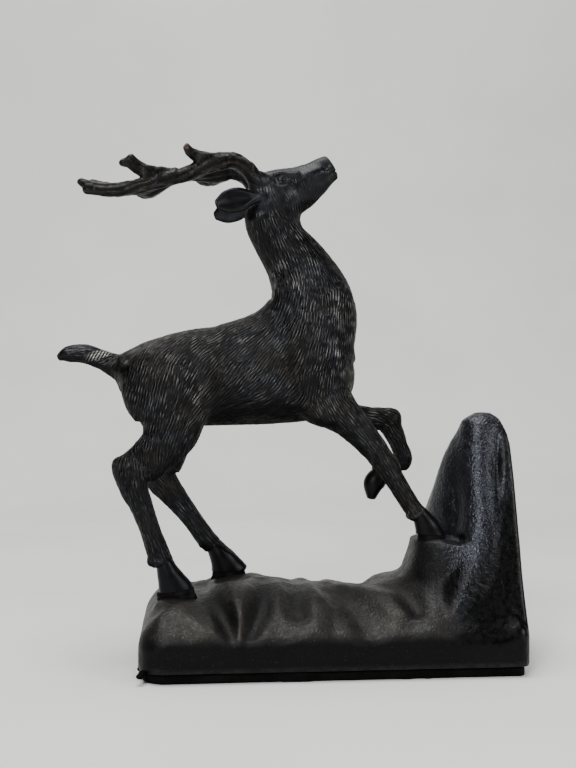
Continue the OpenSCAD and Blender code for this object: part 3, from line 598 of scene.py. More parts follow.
def strokes(p, normals, flow, cell, length, width, seed):
    """Short cut strokes along the flow, one to a cell: 0 between them, 1 at the bottom of one."""
    side = np.cross(normals, flow)
    base = np.floor(p / cell).astype(int)
    count = 16
    jitter = np.random.default_rng(seed).random((count, count, count, 4)).astype(np.float32)
    deepest = np.zeros(len(p), np.float32)
    for dx in (-1, 0, 1):
        for dy in (-1, 0, 1):
            for dz in (-1, 0, 1):
                c = base + (dx, dy, dz)
                j = jitter[tuple((c % count).T)]
                r = p - (c + j[:, :3]) * cell
                along = (r * flow).sum(1) / length
                across = (r * side).sum(1) / width
                off = (r * normals).sum(1) / cell
                shape = np.clip(1 - along**2, 0, 1) * np.exp(-across**2) * np.exp(-(1.3 * off) ** 2)
                deepest = np.maximum(deepest, shape * (0.55 + 0.45 * j[:, 3]))
    return deepest


def smooth_skin(p):
    """1 on the bare hooves, a little less on the face, 0 on the coat, from edges seen from the side."""
    x, y, z = p.T
    face = ramp(z - 0.42 * x, 165.8, 168.6)
    near_hind = ramp(-z, -40.4, -38.6) * (y < 0) * (x < 0)
    far_hind = ramp(-z - 0.5 * x, -29.4, -27.4) * (y > 0) * (x < 0)
    near_fore = ramp(0.7 * x - z, -22.4, -20.4) * (y < 0) * (x > 20) * (z < 60)
    raised = ramp(-x, -44.4, -42.4) * (y > 0) * (x > 25) * (z < 74)
    return np.clip(0.8 * face + near_hind + far_hind + near_fore + raised, 0, 1)


# Spots as (centre, radius): rubbed to brown and brass by hands and wrapping, and polished a little lighter,
# with a painted highlight over the polish.
RUBBED_SPOTS = [((-42, 0, 116), 7), ((26, 0, 126), 8), ((24, 0, 108), 7), ((18, 0, 183), 3.2)]
POLISH_AND_HIGHLIGHT_SPOTS = [
    ((-46, -10, 106), 15), ((-52, -8, 96), 10), ((10, -10, 142), 18), ((8, -8, 156), 12),
    ((20, -8, 118), 14), ((18, -10, 102), 10), ((-46, 10, 106), 15), ((10, 10, 142), 18),
    ((20, 8, 118), 14),
]
NEAR_TIP = [((-37, -10, 189), 1.6)]
FAR_TIP = [((-75, 6, 177.6), 1.4)]


def blobs(p, spots):
    """Sum of soft round spots."""
    return sum(np.exp(-(((p - np.array(centre)) / r) ** 2).sum(1)) for centre, r in spots)


# ---------- meshes ----------


SHARP_EDGE = 55.0  # degrees between faces


def make_piece(name, verts, faces, material, node, values):
    """A piece in metres that stands for a CAD node, with values kept on its vertices for the material."""
    mesh = bpy.data.meshes.new(name)
    size = faces.shape[1]
    mesh.vertices.add(len(verts))
    mesh.vertices.foreach_set("co", (np.asarray(verts) * MM).astype(np.float32).ravel())
    mesh.loops.add(faces.size)
    mesh.loops.foreach_set("vertex_index", faces.astype(np.int32).ravel())
    mesh.polygons.add(len(faces))
    mesh.polygons.foreach_set("loop_start", np.arange(0, faces.size, size, dtype=np.int32))
    mesh.update(calc_edges=True)
    mesh.polygons.foreach_set("use_smooth", np.ones(len(faces), bool))
    for key, value in values.items():
        value = np.asarray(value, np.float32)
        kind, field = ("FLOAT_VECTOR", "vector") if value.ndim == 2 else ("FLOAT", "value")
        mesh.attributes.new(key, kind, "POINT").data.foreach_set(field, value.ravel())
    mesh.validate()
    mesh.set_sharp_from_angle(angle=math.radians(SHARP_EDGE))
    piece = bpy.data.objects.new(name, mesh)
    bpy.context.scene.collection.objects.link(piece)
    mesh.materials.append(material)
    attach(piece, "root")
    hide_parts(node)
    return piece


def cut_to_room(whole, room):
    """The surface of the part of a solid inside a room, with a crisp edge where the two meet."""
    p, faces = whole.inside(room).surface()
    e = 0.05
    for _ in range(3):
        rim = (np.abs(whole.sample(p)) < whole.cell) & (np.abs(room(*p.T)) < whole.cell)
        q = p[rim]
        f, r = whole.sample(q), room(*q.T)
        gf = whole.gradient(q)
        gr = np.stack([(room(*(q + e * k).T) - room(*(q - e * k).T)) / (2 * e) for k in np.eye(3)], 1)
        # The step that brings both distances to zero, left out where the two faces are nearly parallel.
        a, b, c = (gf * gf).sum(1), (gf * gr).sum(1), (gr * gr).sum(1)
        det = a * c - b * b
        good = det > 0.2
        u = np.where(good, (c * f - b * r) / np.where(good, det, 1), 0)
        v = np.where(good, (a * r - b * f) / np.where(good, det, 1), 0)
        p[rim] -= np.clip(u[:, None] * gf + v[:, None] * gr, -whole.cell, whole.cell)
    return p, faces


def on_outside(whole, p):
    """1 on the outer skin, 0 on the faces of a joint inside it."""
    return 1 - ramp(np.abs(whole.sample(p)), 0.25 * whole.cell, 0.9 * whole.cell)


def coated(whole, p, coat=1.0):
    """Vertices with the cut coat worked into them, and the values that the bronze reads."""
    normals = whole.gradient(p)
    flow = coat_flow(p, normals)
    bare = smooth_skin(p)
    coat = (1 - bare) * coat
    long_cuts = strokes(p, normals, flow, cell=1.9, length=2.3, width=0.42, seed=3)
    fine_cuts = strokes(p, normals, flow, cell=1.25, length=1.5, width=0.3, seed=4)
    cuts = np.maximum(long_cuts, 0.8 * fine_cuts) * coat
    hoof = bare * (p[:, 2] < LEG_HEIGHT)
    swell = 0.10 * noise(p, 5.0, 11) + 0.05 * noise(p, 2.2, 12)
    height = (swell + COAT_RISE * coat - CUT_DEPTH * cuts) * on_outside(whole, p)
    p = p + normals * height[:, None]
    rub, polish_highlight = (np.clip(blobs(p, spots), 0, 1) for spots in (RUBBED_SPOTS, POLISH_AND_HIGHLIGHT_SPOTS))
    # cuts also carries the painted shade at the bottom of the strokes, and the darker tone of the hooves.
    return p, {"flow": flow, "coat": coat, "cuts": np.maximum(cuts, 1.3 * hoof), "rub": rub, "polish_highlight": polish_highlight,
               "bloom": ramp(p[:, 2], 158, 176)}


# ---------- rocky base ----------

BAND_TOP = 14.2  # height of the plain band round the foot
BAND_EDGE = 1.6  # how softly the rock runs into its upright sides
WALL = 2.5
# How far the slope runs in at the left end and at most, and how fast that grows along the base.
END_RUN, SIDE_RUN, RUN_GROWTH = 8, 30, 0.55
# Height of the rock along the middle: [x, height].
RIDGE = [
    [-56, 24.6], [-46, 25.4], [-34, 25.2], [-29, 26], [-26, 28.4], [-17, 29.2], [-12, 30.4], [-6, 30.2],
    [-1, 29], [4, 27.4], [10, 27.4], [17, 28], [24, 26], [31, 27.2], [36, 29], [41, 30.2], [47, 31.6],
    [60, 35], [90, 36],
]

# Rills that run down the near slope and ribs between them: rows of [x, y, z, radius].
NEAR_RILLS = [
    [[-31, -4, 33, 3.6], [-29.6, -10, 31.5, 4.2], [-27.4, -17, 29, 4.4], [-25, -24, 25, 4],
     [-22, -31, 19.6, 3], [-20.4, -35, 16, 1.4]],
    [[-8.4, -4, 34, 3.2], [-8.2, -11, 32, 3.6], [-8.8, -18, 28.8, 3.8], [-10.8, -26, 23.6, 3.4],
     [-13.6, -32, 18.6, 2.6], [-15.4, -35, 16, 1.4]],
    [[3, -8, 32.6, 3.8], [2.6, -15, 30.8, 4.2], [2.4, -22, 27, 4], [2.8, -28, 23, 3]],
    [[13, -4, 33, 3.6], [15.6, -11, 31, 4.6], [19, -19, 28, 4.8], [22.6, -26, 23.4, 3.6],
     [25, -31, 19.4, 1.8]],
    [[38, -10, 34, 3], [42, -20, 30, 4], [45, -28, 24, 3]],
]
NEAR_RIBS = [
    [[-44, -16, 22.6, 2.6], [-40, -21, 21.8, 3], [-35.4, -27, 18.8, 3], [-29.6, -33, 13.8, 2.4]],
    [[-19.6, -9, 22, 7.4], [-19.2, -17, 20.4, 7], [-18.8, -25, 17.4, 5.6], [-18, -32.6, 13, 3]],
    [[9.6, -8, 23.4, 5], [9.2, -17, 20.6, 5.4], [8.8, -26, 16.2, 5], [8, -32, 11.8, 4]],
    [[22, -6, 24.6, 3], [28, -12, 24, 3.4], [34, -18, 22.4, 3.6], [39, -25, 18.4, 3]],
]
# Gullies down the far slope: [x at the top, x at the band, half width, depth].
FAR_GULLIES = [
    [-40, -30, 3.4, 3], [-24, -30, 3, 2.2], [-6, 4, 3.4, 3], [16, 8, 3, 2.4], [28, 36, 4, 2.4],
    [50, 44, 4, 2],
]
# Knolls and hollows: [x, y, half length, half width, turn in degrees, height].
KNOLLS = [
    [-47, -20, 6, 8, 0, -1.0], [-22, 22, 8, 6, 20, 1.4], [10, 22, 8, 7, -20, 1.6],
    [38, 24, 8, 6, 10, 1.2], [-42, 16, 7, 8, 0, 1.0], [30, 2, 7, 6, 0, -0.9], [-20, 8, 7, 6, 0, 0.8],
]

# Rock under and behind the forelegs: [height, left edge, half width, middle of the width].
CLIFF = [
    [6, 36, 32, 0], [12, 38.6, 30, 0], [20, 42, 27.6, -0.4], [27, 44, 24.4, -1.4], [34, 45, 20.4, -3.4],
    [41, 46.6, 16.8, -5.6], [44.6, 47.2, 15.2, -6.4], [46.6, 48.4, 13.6, -7],
]
SPIRE = [
    [30, 53, 19, 1], [38, 53, 18, 1], [48, 54, 16.4, 1.4], [56, 55.5, 14, 1.6], [64, 57.6, 12, 1.4],
    [72, 59.8, 10.4, 1], [79, 62.6, 8.6, 0.4], [85, 66.4, 6.8, 0], [89, 70, 5, 0], [91, 74.4, 2.4, 0],
]
# Fuller lobe that climbs to the top on the near side, and one on the far side: [x, y, z, radius].
NEAR_LOBE = [
    [58, -26, 19, 4], [62, -23, 26, 6], [67.6, -18.4, 35, 7.4], [70.6, -14.8, 44, 7.6],
    [71.8, -12, 54, 7.4], [72.2, -8.6, 64, 7], [72.8, -5.4, 73, 6.6], [74, -2.4, 81, 6], [76, 0, 86, 4.4],
]
FAR_LOBE = [[60, 20, 24, 6], [61, 18, 40, 6.6], [64, 13, 56, 6], [68, 7, 70, 5.4], [73, 3, 82, 4.6]]
# Wall of the niche behind the forehoof: [height, x at the middle, x and y at its near end].
NICHE = [
    [47, 54.6, 62.6, -17], [56, 56.1, 63.2, -16], [64, 58.2, 64.2, -14], [72, 60.4, 65.6, -11],
    [80, 63.4, 68, -8], [86, 67.4, 70, -5],
]
# How far the top edge of the upright is rounded in from its face: [height, distance].
ROUNDED = [[80, 0], [84, 0.8], [88, 2.3], [90, 3.5], [91, 5]]
# Upright plate with its plain foot: [height, left edge, half width].
UPRIGHT = [
    [3, 50, 36.5], [12, 56, 34.4], [20, 61.4, 30.6], [27.5, 65.6, 27.4], [34, 68, 25], [44, 71, 22],
    [56, 75, 18.4], [68, 78, 14.6], [77, 79, 11], [84, 79, 7.6], [88, 79, 5], [90, 79, 3.4],
    [91, 79.4, 1.6],
]
CORNER_LEFT, CORNER_RIGHT, UPRIGHT_CORNER = 10.0, 4.0, 3.0
CLIFF_RIGHT, SPIRE_RIGHT = 80.0, 82.0
GROUND_TOP = 42.0
# Blocks of the hollow, as low and high corners: under the slopes, under the roof and up into the upright.
HOLLOWS = [
    ((-46, -30.5, -1), (79, 30.5, 12)), ((-40, -18.5, 0), (79, 18.5, 17.5)), ((60, -10, 0), (77, 10, 39)),
]
# Parts of the rock with painted shade: (centre, radius).
SHADED = [((54, -23, 38), 8), ((60, -25, 30), 8), ((58, -12, 56), 6)]


def outline(x, y):
    """Signed distance to the rounded outline of the base in plan, negative inside."""
    r = np.where(x < 0, CORNER_LEFT, CORNER_RIGHT)
    dx = np.maximum(BASE_LOW[0] + r - x, x - BASE_HIGH[0] + r)
    return corner_distance(dx, np.abs(y) - BASE_HIGH[1] + r, r)


def at_height(stations, z):
    """The rest of the station at height z, on the curve through the stations."""
    s = curve(stations, 6)
    return [np.interp(z, s[:, 0], column) for column in s[:, 1:].T]


def ground_height(x, y):
    """Height of the rolling rock over the plan."""
    band = BAND_TOP + 0.9 * np.sin(0.16 * x + 0.6) + 0.5 * np.sin(0.41 * x)
    run = np.clip(END_RUN + RUN_GROWTH * (x - BASE_LOW[0]), END_RUN, SIDE_RUN)
    t = np.clip(-outline(x, y) / run, 0, 1)
    rise = np.sin(0.5 * np.pi * t) ** 0.9
    height = band + (np.interp(x, *np.array(RIDGE, float).T) - band) * rise
    slope = np.sin(np.pi * np.clip(0.92 * t + 0.06, 0, 1)) ** 0.7
    for top, foot, half, depth in FAR_GULLIES:
        centre = foot + (top - foot) * t
        height = height - (y > 0) * depth * slope * np.exp(-((x - centre) / half) ** 2)
    for kx, ky, a, b, turn, lift in KNOLLS:
        c, s = math.cos(math.radians(turn)), math.sin(math.radians(turn))
        u, v = c * (x - kx) + s * (y - ky), -s * (x - kx) + c * (y - ky)
        height = height + lift * np.exp(-((u / a) ** 2 + (v / b) ** 2)) * np.minimum(1, 2.5 * t)
    p = np.stack(np.broadcast_arrays(x, y, 0 * x), -1)
    return height + (0.5 * noise(p, 9, 21) + 0.3 * noise(p, 4.5, 22)) * np.minimum(1, 3 * t)


class Ground:
    """Everything below the rolling rock."""

    def reach(self, more):
        return BASE_LOW - more, np.array([BASE_HIGH[0], BASE_HIGH[1], GROUND_TOP]) + more

    def __call__(self, x, y, z):
        top = ground_height(x[:, :, 0], y[:, :, 0])
        gx, gy = np.gradient(top, BASE_CELL)
        return ((z - top[:, :, None]) / np.sqrt(1 + gx**2 + gy**2)[:, :, None]).astype(np.float32)


class Column:
    """Rock from its stations to a flat right side, squarer in plan for a greater power."""

    def __init__(self, stations, right, power):
        self.stations, self.right, self.power = stations, right, power

    def reach(self, more):
        s = curve(self.stations, 6)
        half = s[:, 2].max()
        low, high = np.array([s[:, 1].min(), -half, s[0, 0]]), np.array([self.right, half, s[-1, 0]])
        return low - more, high + more

    def __call__(self, x, y, z):
        left, half, middle = at_height(self.stations, z)
        reach = self.right - left
        u = np.maximum(self.right - x, 0) / reach
        v = np.abs(y - middle) / half
        q = (u**self.power + v**self.power) ** (1 / self.power)
        side = (q - 1) * np.minimum(reach, half) * 0.85
        ends = np.maximum(z - self.stations[-1][0], self.stations[0][0] - z)
        return np.maximum(side, ends).astype(np.float32)


class Plate:
    """The flat upright, with a plain foot that runs out into the band."""

    def reach(self, more):
        foot, left, half = UPRIGHT[0]
        low, high = np.array([left - 2, -half, foot]), np.array([BASE_HIGH[0], half, UPRIGHT[-1][0] + 1])
        return low - more, high + more

    def __call__(self, x, y, z):
        left, half = at_height(UPRIGHT, z)
        side = corner_distance(left + UPRIGHT_CORNER - x, np.abs(y) - half + UPRIGHT_CORNER, UPRIGHT_CORNER)
        return np.maximum(side * 0.93, z - UPRIGHT[-1][0]).astype(np.float32)


class Slice:
    """Everything to the left of the wall of the niche, above its foot."""

    def reach(self, more):
        return np.array([44, -40, NICHE[0][0] - more]), np.array([72, 12, NICHE[-1][0] + more])

    def __call__(self, x, y, z):
        middle, near, depth = at_height(NICHE, z)
        side = ((middle - x) * depth + y * (near - middle)) / np.hypot(near - middle, depth)
        return np.maximum(side, NICHE[0][0] - z).astype(np.float32)


def block(x, y, z, low, high):
    """Signed distance to a plain block."""
    d = np.maximum(low[0] - x, x - high[0])
    d = np.maximum(d, np.maximum(low[1] - y, y - high[1]))
    return np.maximum(d, np.maximum(low[2] - z, z - high[2]))


def cavity(x, y, z):
    """The hollow under the base, negative inside."""
    return np.minimum.reduce([block(x, y, z, low, high) for low, high in HOLLOWS])


def base_solid():
    """The rock and the upright, without the hollow."""
    steps = [("add", Ground(), 0)]
    steps += [("add", Cord(rib), 5) for rib in NEAR_RIBS]
    steps += [("cut", Cord(rill), 3.4) for rill in NEAR_RILLS]
    steps += [("add", Column(CLIFF, CLIFF_RIGHT, 3.0), 3), ("add", Column(SPIRE, SPIRE_RIGHT, 2.5), 2.2),
              ("add", Cord(FAR_LOBE), 3), ("cut", Slice(), 3.6), ("add", Plate(), 1.2),
              ("add", Cord(NEAR_LOBE), 2.4),
              ("cut", Lump([60, -19, 46.8], [5, 6, 2.4], -12), 1.4),
              ("add", Lump([75, 0, 84.4], [7.4, 6.4, 6]), 3)]
    s = sculpt(steps, "base_casting", BASE_CELL)
    x, y, z = s.grid()
    s.d = -blend_in(-s.d, -outline(x, y).astype(np.float32), BAND_EDGE)
    s.keep(BASE_LOW[2] - z)
    s.keep(x - (BASE_HIGH[0] - np.interp(z, *np.array(ROUNDED).T)))
    return s


def build_base(material):
    """The base casting with the stony skin of the rock, the even skin of the upright and the plain band."""
    whole = base_solid()

    def room(x, y, z):
        depth = whole.d if x.ndim == 3 else whole.sample(np.stack([x, y, z], 1))
        return np.maximum(-np.maximum(cavity(x, y, z), depth + WALL), BASE_LOW[2] - z)

    p, faces = cut_to_room(whole, room)
    normals = whole.gradient(p)
    skin = on_outside(whole, p)
    x, y, z = p.T
    # How far the mean distance round a point is above its own: high on a crest, low in a valley.
    steps = 2.6 * np.eye(3)
    bend = sum(whole.sample(p + k) + whole.sample(p - k) for k in steps) / 6 - whole.sample(p)
    # The stony skin starts above the band and ends at the flat face, and turns to orange peel on the upright.
    stony = skin * ramp(z, 14, 18) * (1 - ramp(x, BASE_HIGH[0] - 1.2, BASE_HIGH[0] - 0.4))
    orange_peel = ramp(x + 0.1 * z, 57, 66)
    grain = noise(p, 1.5, 31) * (0.05 + 0.03 * orange_peel) + 0.05 * noise(p, 3.1, 32)
    plain = skin * (1 - ramp(z, 13, 16)) * (np.abs(x - BASE_HIGH[0]) > 1.0)
    height = stony * grain + plain * (0.10 * noise(p, 9, 33) + 0.03 * noise(p, 2.4, 34))
    p = p + normals * height[:, None]
    upright_side = np.maximum(0.65 * ramp(x - 0.25 * z, 57.5, 61.5), ramp(x - 0.5 * z, 46, 53))
    values = {"peel": orange_peel, "plain": 1 - ramp(z, 12.5, 17) * (1 - upright_side),
              # crest: wear with a painted highlight on the crests.
              "crest": ramp(bend, 0.06, 0.5) * skin,
              # valley: patina darker in the hollows, and painted shade at the SHADED spots.
              "valley": np.maximum(ramp(-bend, 0.02, 0.36), blobs(p, SHADED)),
              "slope": np.clip(normals[:, 2], 0, 1)}
    return make_piece("rock_base", p, faces, material, "base_casting", values)


def build_bed(node, centre, half, low, high, lean, seed, material):
    """Dark setting compound squeezed out under a hoof in uneven layers, with a crack between two of them."""
    s = Sculpt((centre[0] - half[0] - 3, centre[1] - half[1] - 3, low - 1),
               (centre[0] + half[0] + 3, centre[1] + half[1] + 3, high(centre[0]) + 3), BED_CELL)
    x, y, z = s.grid()
    p = np.stack(np.broadcast_arrays(x, y, z), -1)
    top = high(x)
    t = (z - low) / (top - low)
    crack = np.exp(-((z - low - 0.62 * (top - low) - 0.25 * noise(p, 4, seed)) / 0.22) ** 2)
    ripple = 1 - 0.05 * crack + 0.05 * noise(p, 3, seed + 1) + 0.16 * (0.5 - t)
    q = np.sqrt(((x - centre[0] - lean * (0.5 - t)) / half[0]) ** 2 + ((y - centre[1]) / half[1]) ** 2)
    s.d = (q - ripple) * min(half)
    s.keep(np.maximum(z - top - 0.05, low - z))
    v, faces = s.surface()
    v = v + 0.05 * noise(v, 1.1, seed + 2)[:, None] * np.array([1, 1, 0])
    values = {"grain": noise(v, 2.0, seed + 3)}
    return make_piece(node + "_black", v, faces, material, node, values)


def build_pad(material):
    """Rubber sheet under the base, knife-cut round the edge, with blobs of glue squeezed out of the seam."""
    s = Sculpt(PAD_LOW - 2.4, PAD_HIGH + 2.4, PAD_CELL)
    x, y, z = s.grid()
    inset = BASE_HIGH[1] - PAD_HIGH[1]
    p = np.stack(np.broadcast_arrays(x, y, 0.25 * z), -1)
    wobble = 0.5 * noise(p, 14, 41) + 0.22 * noise(p, 4, 42)
    round_over = ((z - PAD_LOW[2]) / (PAD_HIGH[2] - PAD_LOW[2]) - 0.5) ** 2
    s.d = outline(x, y) + inset - wobble + round_over
    s.keep(np.maximum(PAD_LOW[2] - z, z - PAD_HIGH[2]))
    glue_blobs, spacing = 9, 2.6
    for k in range(glue_blobs):
        x0, y0 = PAD_LOW[0] - 0.5 + 0.8 * (k % 3), PAD_LOW[1] + spacing * k
        s.add(Lump([x0, y0, PAD_HIGH[2] - 0.6 + 0.5 * (k % 2)], [1.5, 1.7, 0.9]), 1)
    v, faces = s.surface()
    values = {"grain": noise(v, 3.0, 43)}
    return make_piece("rubber_pad", v, faces, material, "base_pad", values)


# ---------- materials ----------


class Nodes:
    """A short way to write a node tree."""

    def __init__(self, name):
        self.material = bpy.data.materials.new(name)
        self.material.use_nodes = True
        self.tree = self.material.node_tree
        self.shader = self.tree.nodes["Principled BSDF"]

    def new(self, kind, inputs=None, **settings):
        node = self.tree.nodes.new("ShaderNode" + kind)
        for key, value in settings.items():
            setattr(node, key, value)
        for key, value in (inputs or {}).items():
            self.put(node, key, value)
        return node

    def put(self, node, key, value):
        if isinstance(value, bpy.types.NodeSocket):
            self.tree.links.new(value, node.inputs[key])
        else:
            node.inputs[key].default_value = value

    def value(self, name):
        """A number kept on the vertices."""
        return self.new("Attribute", attribute_name=name, attribute_type="GEOMETRY").outputs["Fac"]

    def place(self):
        return self.new("TexCoord").outputs["Object"]

    def upward(self, vector):
        return self.new("SeparateXYZ", {0: vector}).outputs["Z"]

    def noise(self, scale, detail=4.0, rough=0.55):
        """Noise with lumps about 1 / scale metres across."""
        inputs = {"Vector": self.place(), "Scale": scale, "Detail": detail, "Roughness": rough}
        return self.new("TexNoise", inputs).outputs["Fac"]

    def math(self, operation, a, b):
        return self.new("Math", {0: a, 1: b}, operation=operation).outputs[0]

    def times(self, a, b):
        return self.math("MULTIPLY", a, b)

    def ramp(self, value, low, high, out_low=0.0, out_high=1.0):
        inputs = {"Value": value, "From Min": low, "From Max": high, "To Min": out_low, "To Max": out_high}
        return self.new("MapRange", inputs, interpolation_type="SMOOTHSTEP").outputs[0]

    def mix(self, share, a, b):
        a, b = (c if isinstance(c, bpy.types.NodeSocket) else (*c, 1) for c in (a, b))
        return self.new("Mix", {0: share, 6: a, 7: b}, data_type="RGBA").outputs[2]

    def tint(self, share, colour):
        """Lays a colour over the one so far."""
        self.colour = self.mix(share, self.colour, colour)

    def bump(self, height, depth, strength, under=None):
        """Relief of `depth` millimetres, over the relief `under` it."""
        inputs = {"Height": height, "Distance": depth * MM, "Strength": strength}
        if under is not None:
            inputs["Normal"] = under
        return self.new("Bump", inputs).outputs["Normal"]

    def finish(self, **sockets):
        self.put(self.shader, "Base Color", self.colour)
        for key, value in sockets.items():
            self.put(self.shader, key.replace("_", " "), value)
        return self.material


# Colours of the figure.
BLACK_PATINA = (0.0125, 0.0128, 0.0142)
BROWN_PATINA = (0.021, 0.0192, 0.0168)
BLUE_BLOOM = (0.034, 0.038, 0.048)
HEAD_BLOOM = (0.036, 0.039, 0.046)
RIDGE_WEAR_AND_HIGHLIGHT = (0.18, 0.179, 0.176)
POLISH_AND_HIGHLIGHT = (0.25, 0.247, 0.238)
CHISELLED = (0.45, 0.44, 0.40)
RUBBED_BRASS = (0.34, 0.26, 0.15)
HAIR_VALLEY_SHADE = (0.005, 0.005, 0.006)
CUT_SHADE_AND_HOOF_DARK = (0.006, 0.006, 0.007)
UNDERSIDE_SHADE = (0.004, 0.004, 0.0045)
BARK_VALLEY = (0.004, 0.0038, 0.0035)
BARK_RIDGE = (0.13, 0.097, 0.06)
ANTLER_TIP = (0.15, 0.085, 0.05)
DUST = (0.16, 0.155, 0.14)
# Colours of the rock.
ROCK_DARK, ROCK_LIGHT = (0.013, 0.013, 0.014), (0.024, 0.0225, 0.020)
ROCK_TOP = (0.036, 0.034, 0.031)
ROCK_BLUE = (0.032, 0.035, 0.045)
ROCK_PLAIN = (0.0035, 0.0035, 0.004)
ROCK_VALLEY_AND_SHADE = (0.007, 0.007, 0.0075)
ROCK_CREST_WEAR_AND_HIGHLIGHT = (0.05, 0.047, 0.042)
# Colours of the rest, each from dark to light.
BEDDING_DARK, BEDDING_LIGHT = (0.003, 0.003, 0.0035), (0.008, 0.008, 0.009)
RUBBER_DARK, RUBBER_LIGHT, RUBBER_DUST = (0.0015, 0.0015, 0.0017), (0.004, 0.004, 0.004), (0.06, 0.06, 0.055)
STEEL_DARK, STEEL_LIGHT, RUST = (0.42, 0.42, 0.43), (0.60, 0.60, 0.59), (0.20, 0.13, 0.08)
IRON_DARK, IRON_LIGHT = (0.10, 0.10, 0.10), (0.17, 0.14, 0.12)
SHEET_DARK, SHEET_LIGHT = (0.72, 0.72, 0.705), (0.77, 0.77, 0.755)
SURROUND_GLOW = (0.6, 0.6, 0.59, 1)

LEG_TOP = (0.070, 0.096)  # metres above the table: the coat is darker on the legs below


def streaks(n, across, scale, frequency):
    """Fine streaks square to the direction `across`."""
    inputs = {"Vector": n.place(), "Orientation": across, "Scale": scale, "Frequency": frequency,
              "Anisotropy": 1.0}
    return n.new("TexGabor", inputs, gabor_type="3D").outputs["Value"]


def coat_bronze():
    """Dark bronze with fine hair along the coat, paler on its ridges from wear and a painted highlight, with
    painted shade in the hair valleys, the cuts and underneath, and rubbed where hands have been.
    """
    n = Nodes("coat_bronze")
    coat, flow = n.value("coat"), n.new("Attribute", attribute_name="flow", attribute_type="GEOMETRY")
    normal = n.new("NewGeometry").outputs["Normal"]
    across = n.new("VectorMath", {0: flow.outputs["Vector"], 1: normal}, operation="CROSS_PRODUCT").outputs[0]
    hair = n.math("MAXIMUM", streaks(n, across, 250.0, 3.6), streaks(n, across, 330.0, 3.0))
    ridge = n.times(n.ramp(hair, 0.60, 0.76), coat)
    patches, fine = n.noise(60.0), n.noise(900.0, 3)
    facing = n.upward(normal)
    # under: painted shade on faces that look down; it also makes them rougher.
    under = n.ramp(facing, -0.75, -0.2, 0.9, 0.0)

    n.colour = n.mix(n.ramp(patches, 0.4, 0.66), BLACK_PATINA, BROWN_PATINA)
    n.tint(n.ramp(n.noise(150.0, 3), 0.52, 0.72, 0, 0.55), BLUE_BLOOM)
    n.tint(n.times(n.value("bloom"), n.ramp(patches, 0.35, 0.65, 0.05, 0.35)), HEAD_BLOOM)
    # Painted shade in the valleys between the hairs.
    n.tint(n.times(n.ramp(hair, 0.46, 0.60, 0.75, 0.0), coat), HAIR_VALLEY_SHADE)
    # Pale hair ridges from wear and a painted highlight: strongest on faces that look up, fainter down the
    # legs, palest at the polished spots.
    share = n.times(n.ramp(n.noise(110.0, 3), 0.35, 0.65, 0.4, 0.9), n.ramp(facing, -0.75, 0.0, 0.1, 1.0))
    share = n.times(share, n.ramp(n.upward(n.place()), *LEG_TOP, 0.5, 1.0))
    n.tint(n.times(ridge, share), n.mix(n.value("polish_highlight"), RIDGE_WEAR_AND_HIGHLIGHT, POLISH_AND_HIGHLIGHT))
    # Painted shade underneath.
    n.tint(under, UNDERSIDE_SHADE)
    worn = n.times(n.math("MAXIMUM", ridge, n.ramp(fine, 0.55, 0.8, 0, 0.4)), n.value("rub"))
    n.tint(n.times(worn, 0.5), RUBBED_BRASS)
    n.tint(n.value("marks"), CHISELLED)
    # Painted shade at the bottom of the cut strokes and in the ear hollows; the hooves are darker in their
    # own tone.
    n.tint(n.times(n.value("cuts"), 0.55), CUT_SHADE_AND_HOOF_DARK)
    rough = n.math("ADD", n.ramp(n.noise(240.0), 0.3, 0.7, 0.32, 0.46), n.times(under, 0.4))
    normals = n.bump(fine, 0.06, 0.6, n.bump(n.times(hair, coat), 0.9, 1.0))
    return n.finish(Roughness=rough, Metallic=0.9, Normal=normals)


def antler_bronze():
    """Browner bronze, dark in the grooves of the bark and worn at the tips."""
    n = Nodes("antler_bronze")
    groove = n.value("groove")
    fine = n.noise(700.0)
    n.colour = n.mix(n.ramp(n.noise(130.0), 0.42, 0.62), BLACK_PATINA, BROWN_PATINA)
    n.tint(n.ramp(groove, 0.05, 0.45, 0.8, 0.0), BARK_VALLEY)
    n.tint(n.times(n.ramp(groove, 0.6, 0.95), 0.42), BARK_RIDGE)
    n.tint(n.times(n.value("tip"), 0.8), ANTLER_TIP)
    n.tint(n.times(n.ramp(fine, 0.62, 0.72), 0.22), DUST)
    rough = n.ramp(fine, 0.3, 0.7, 0.34, 0.5)
    return n.finish(Roughness=rough, Metallic=0.85, Normal=n.bump(fine, 0.08, 0.8))


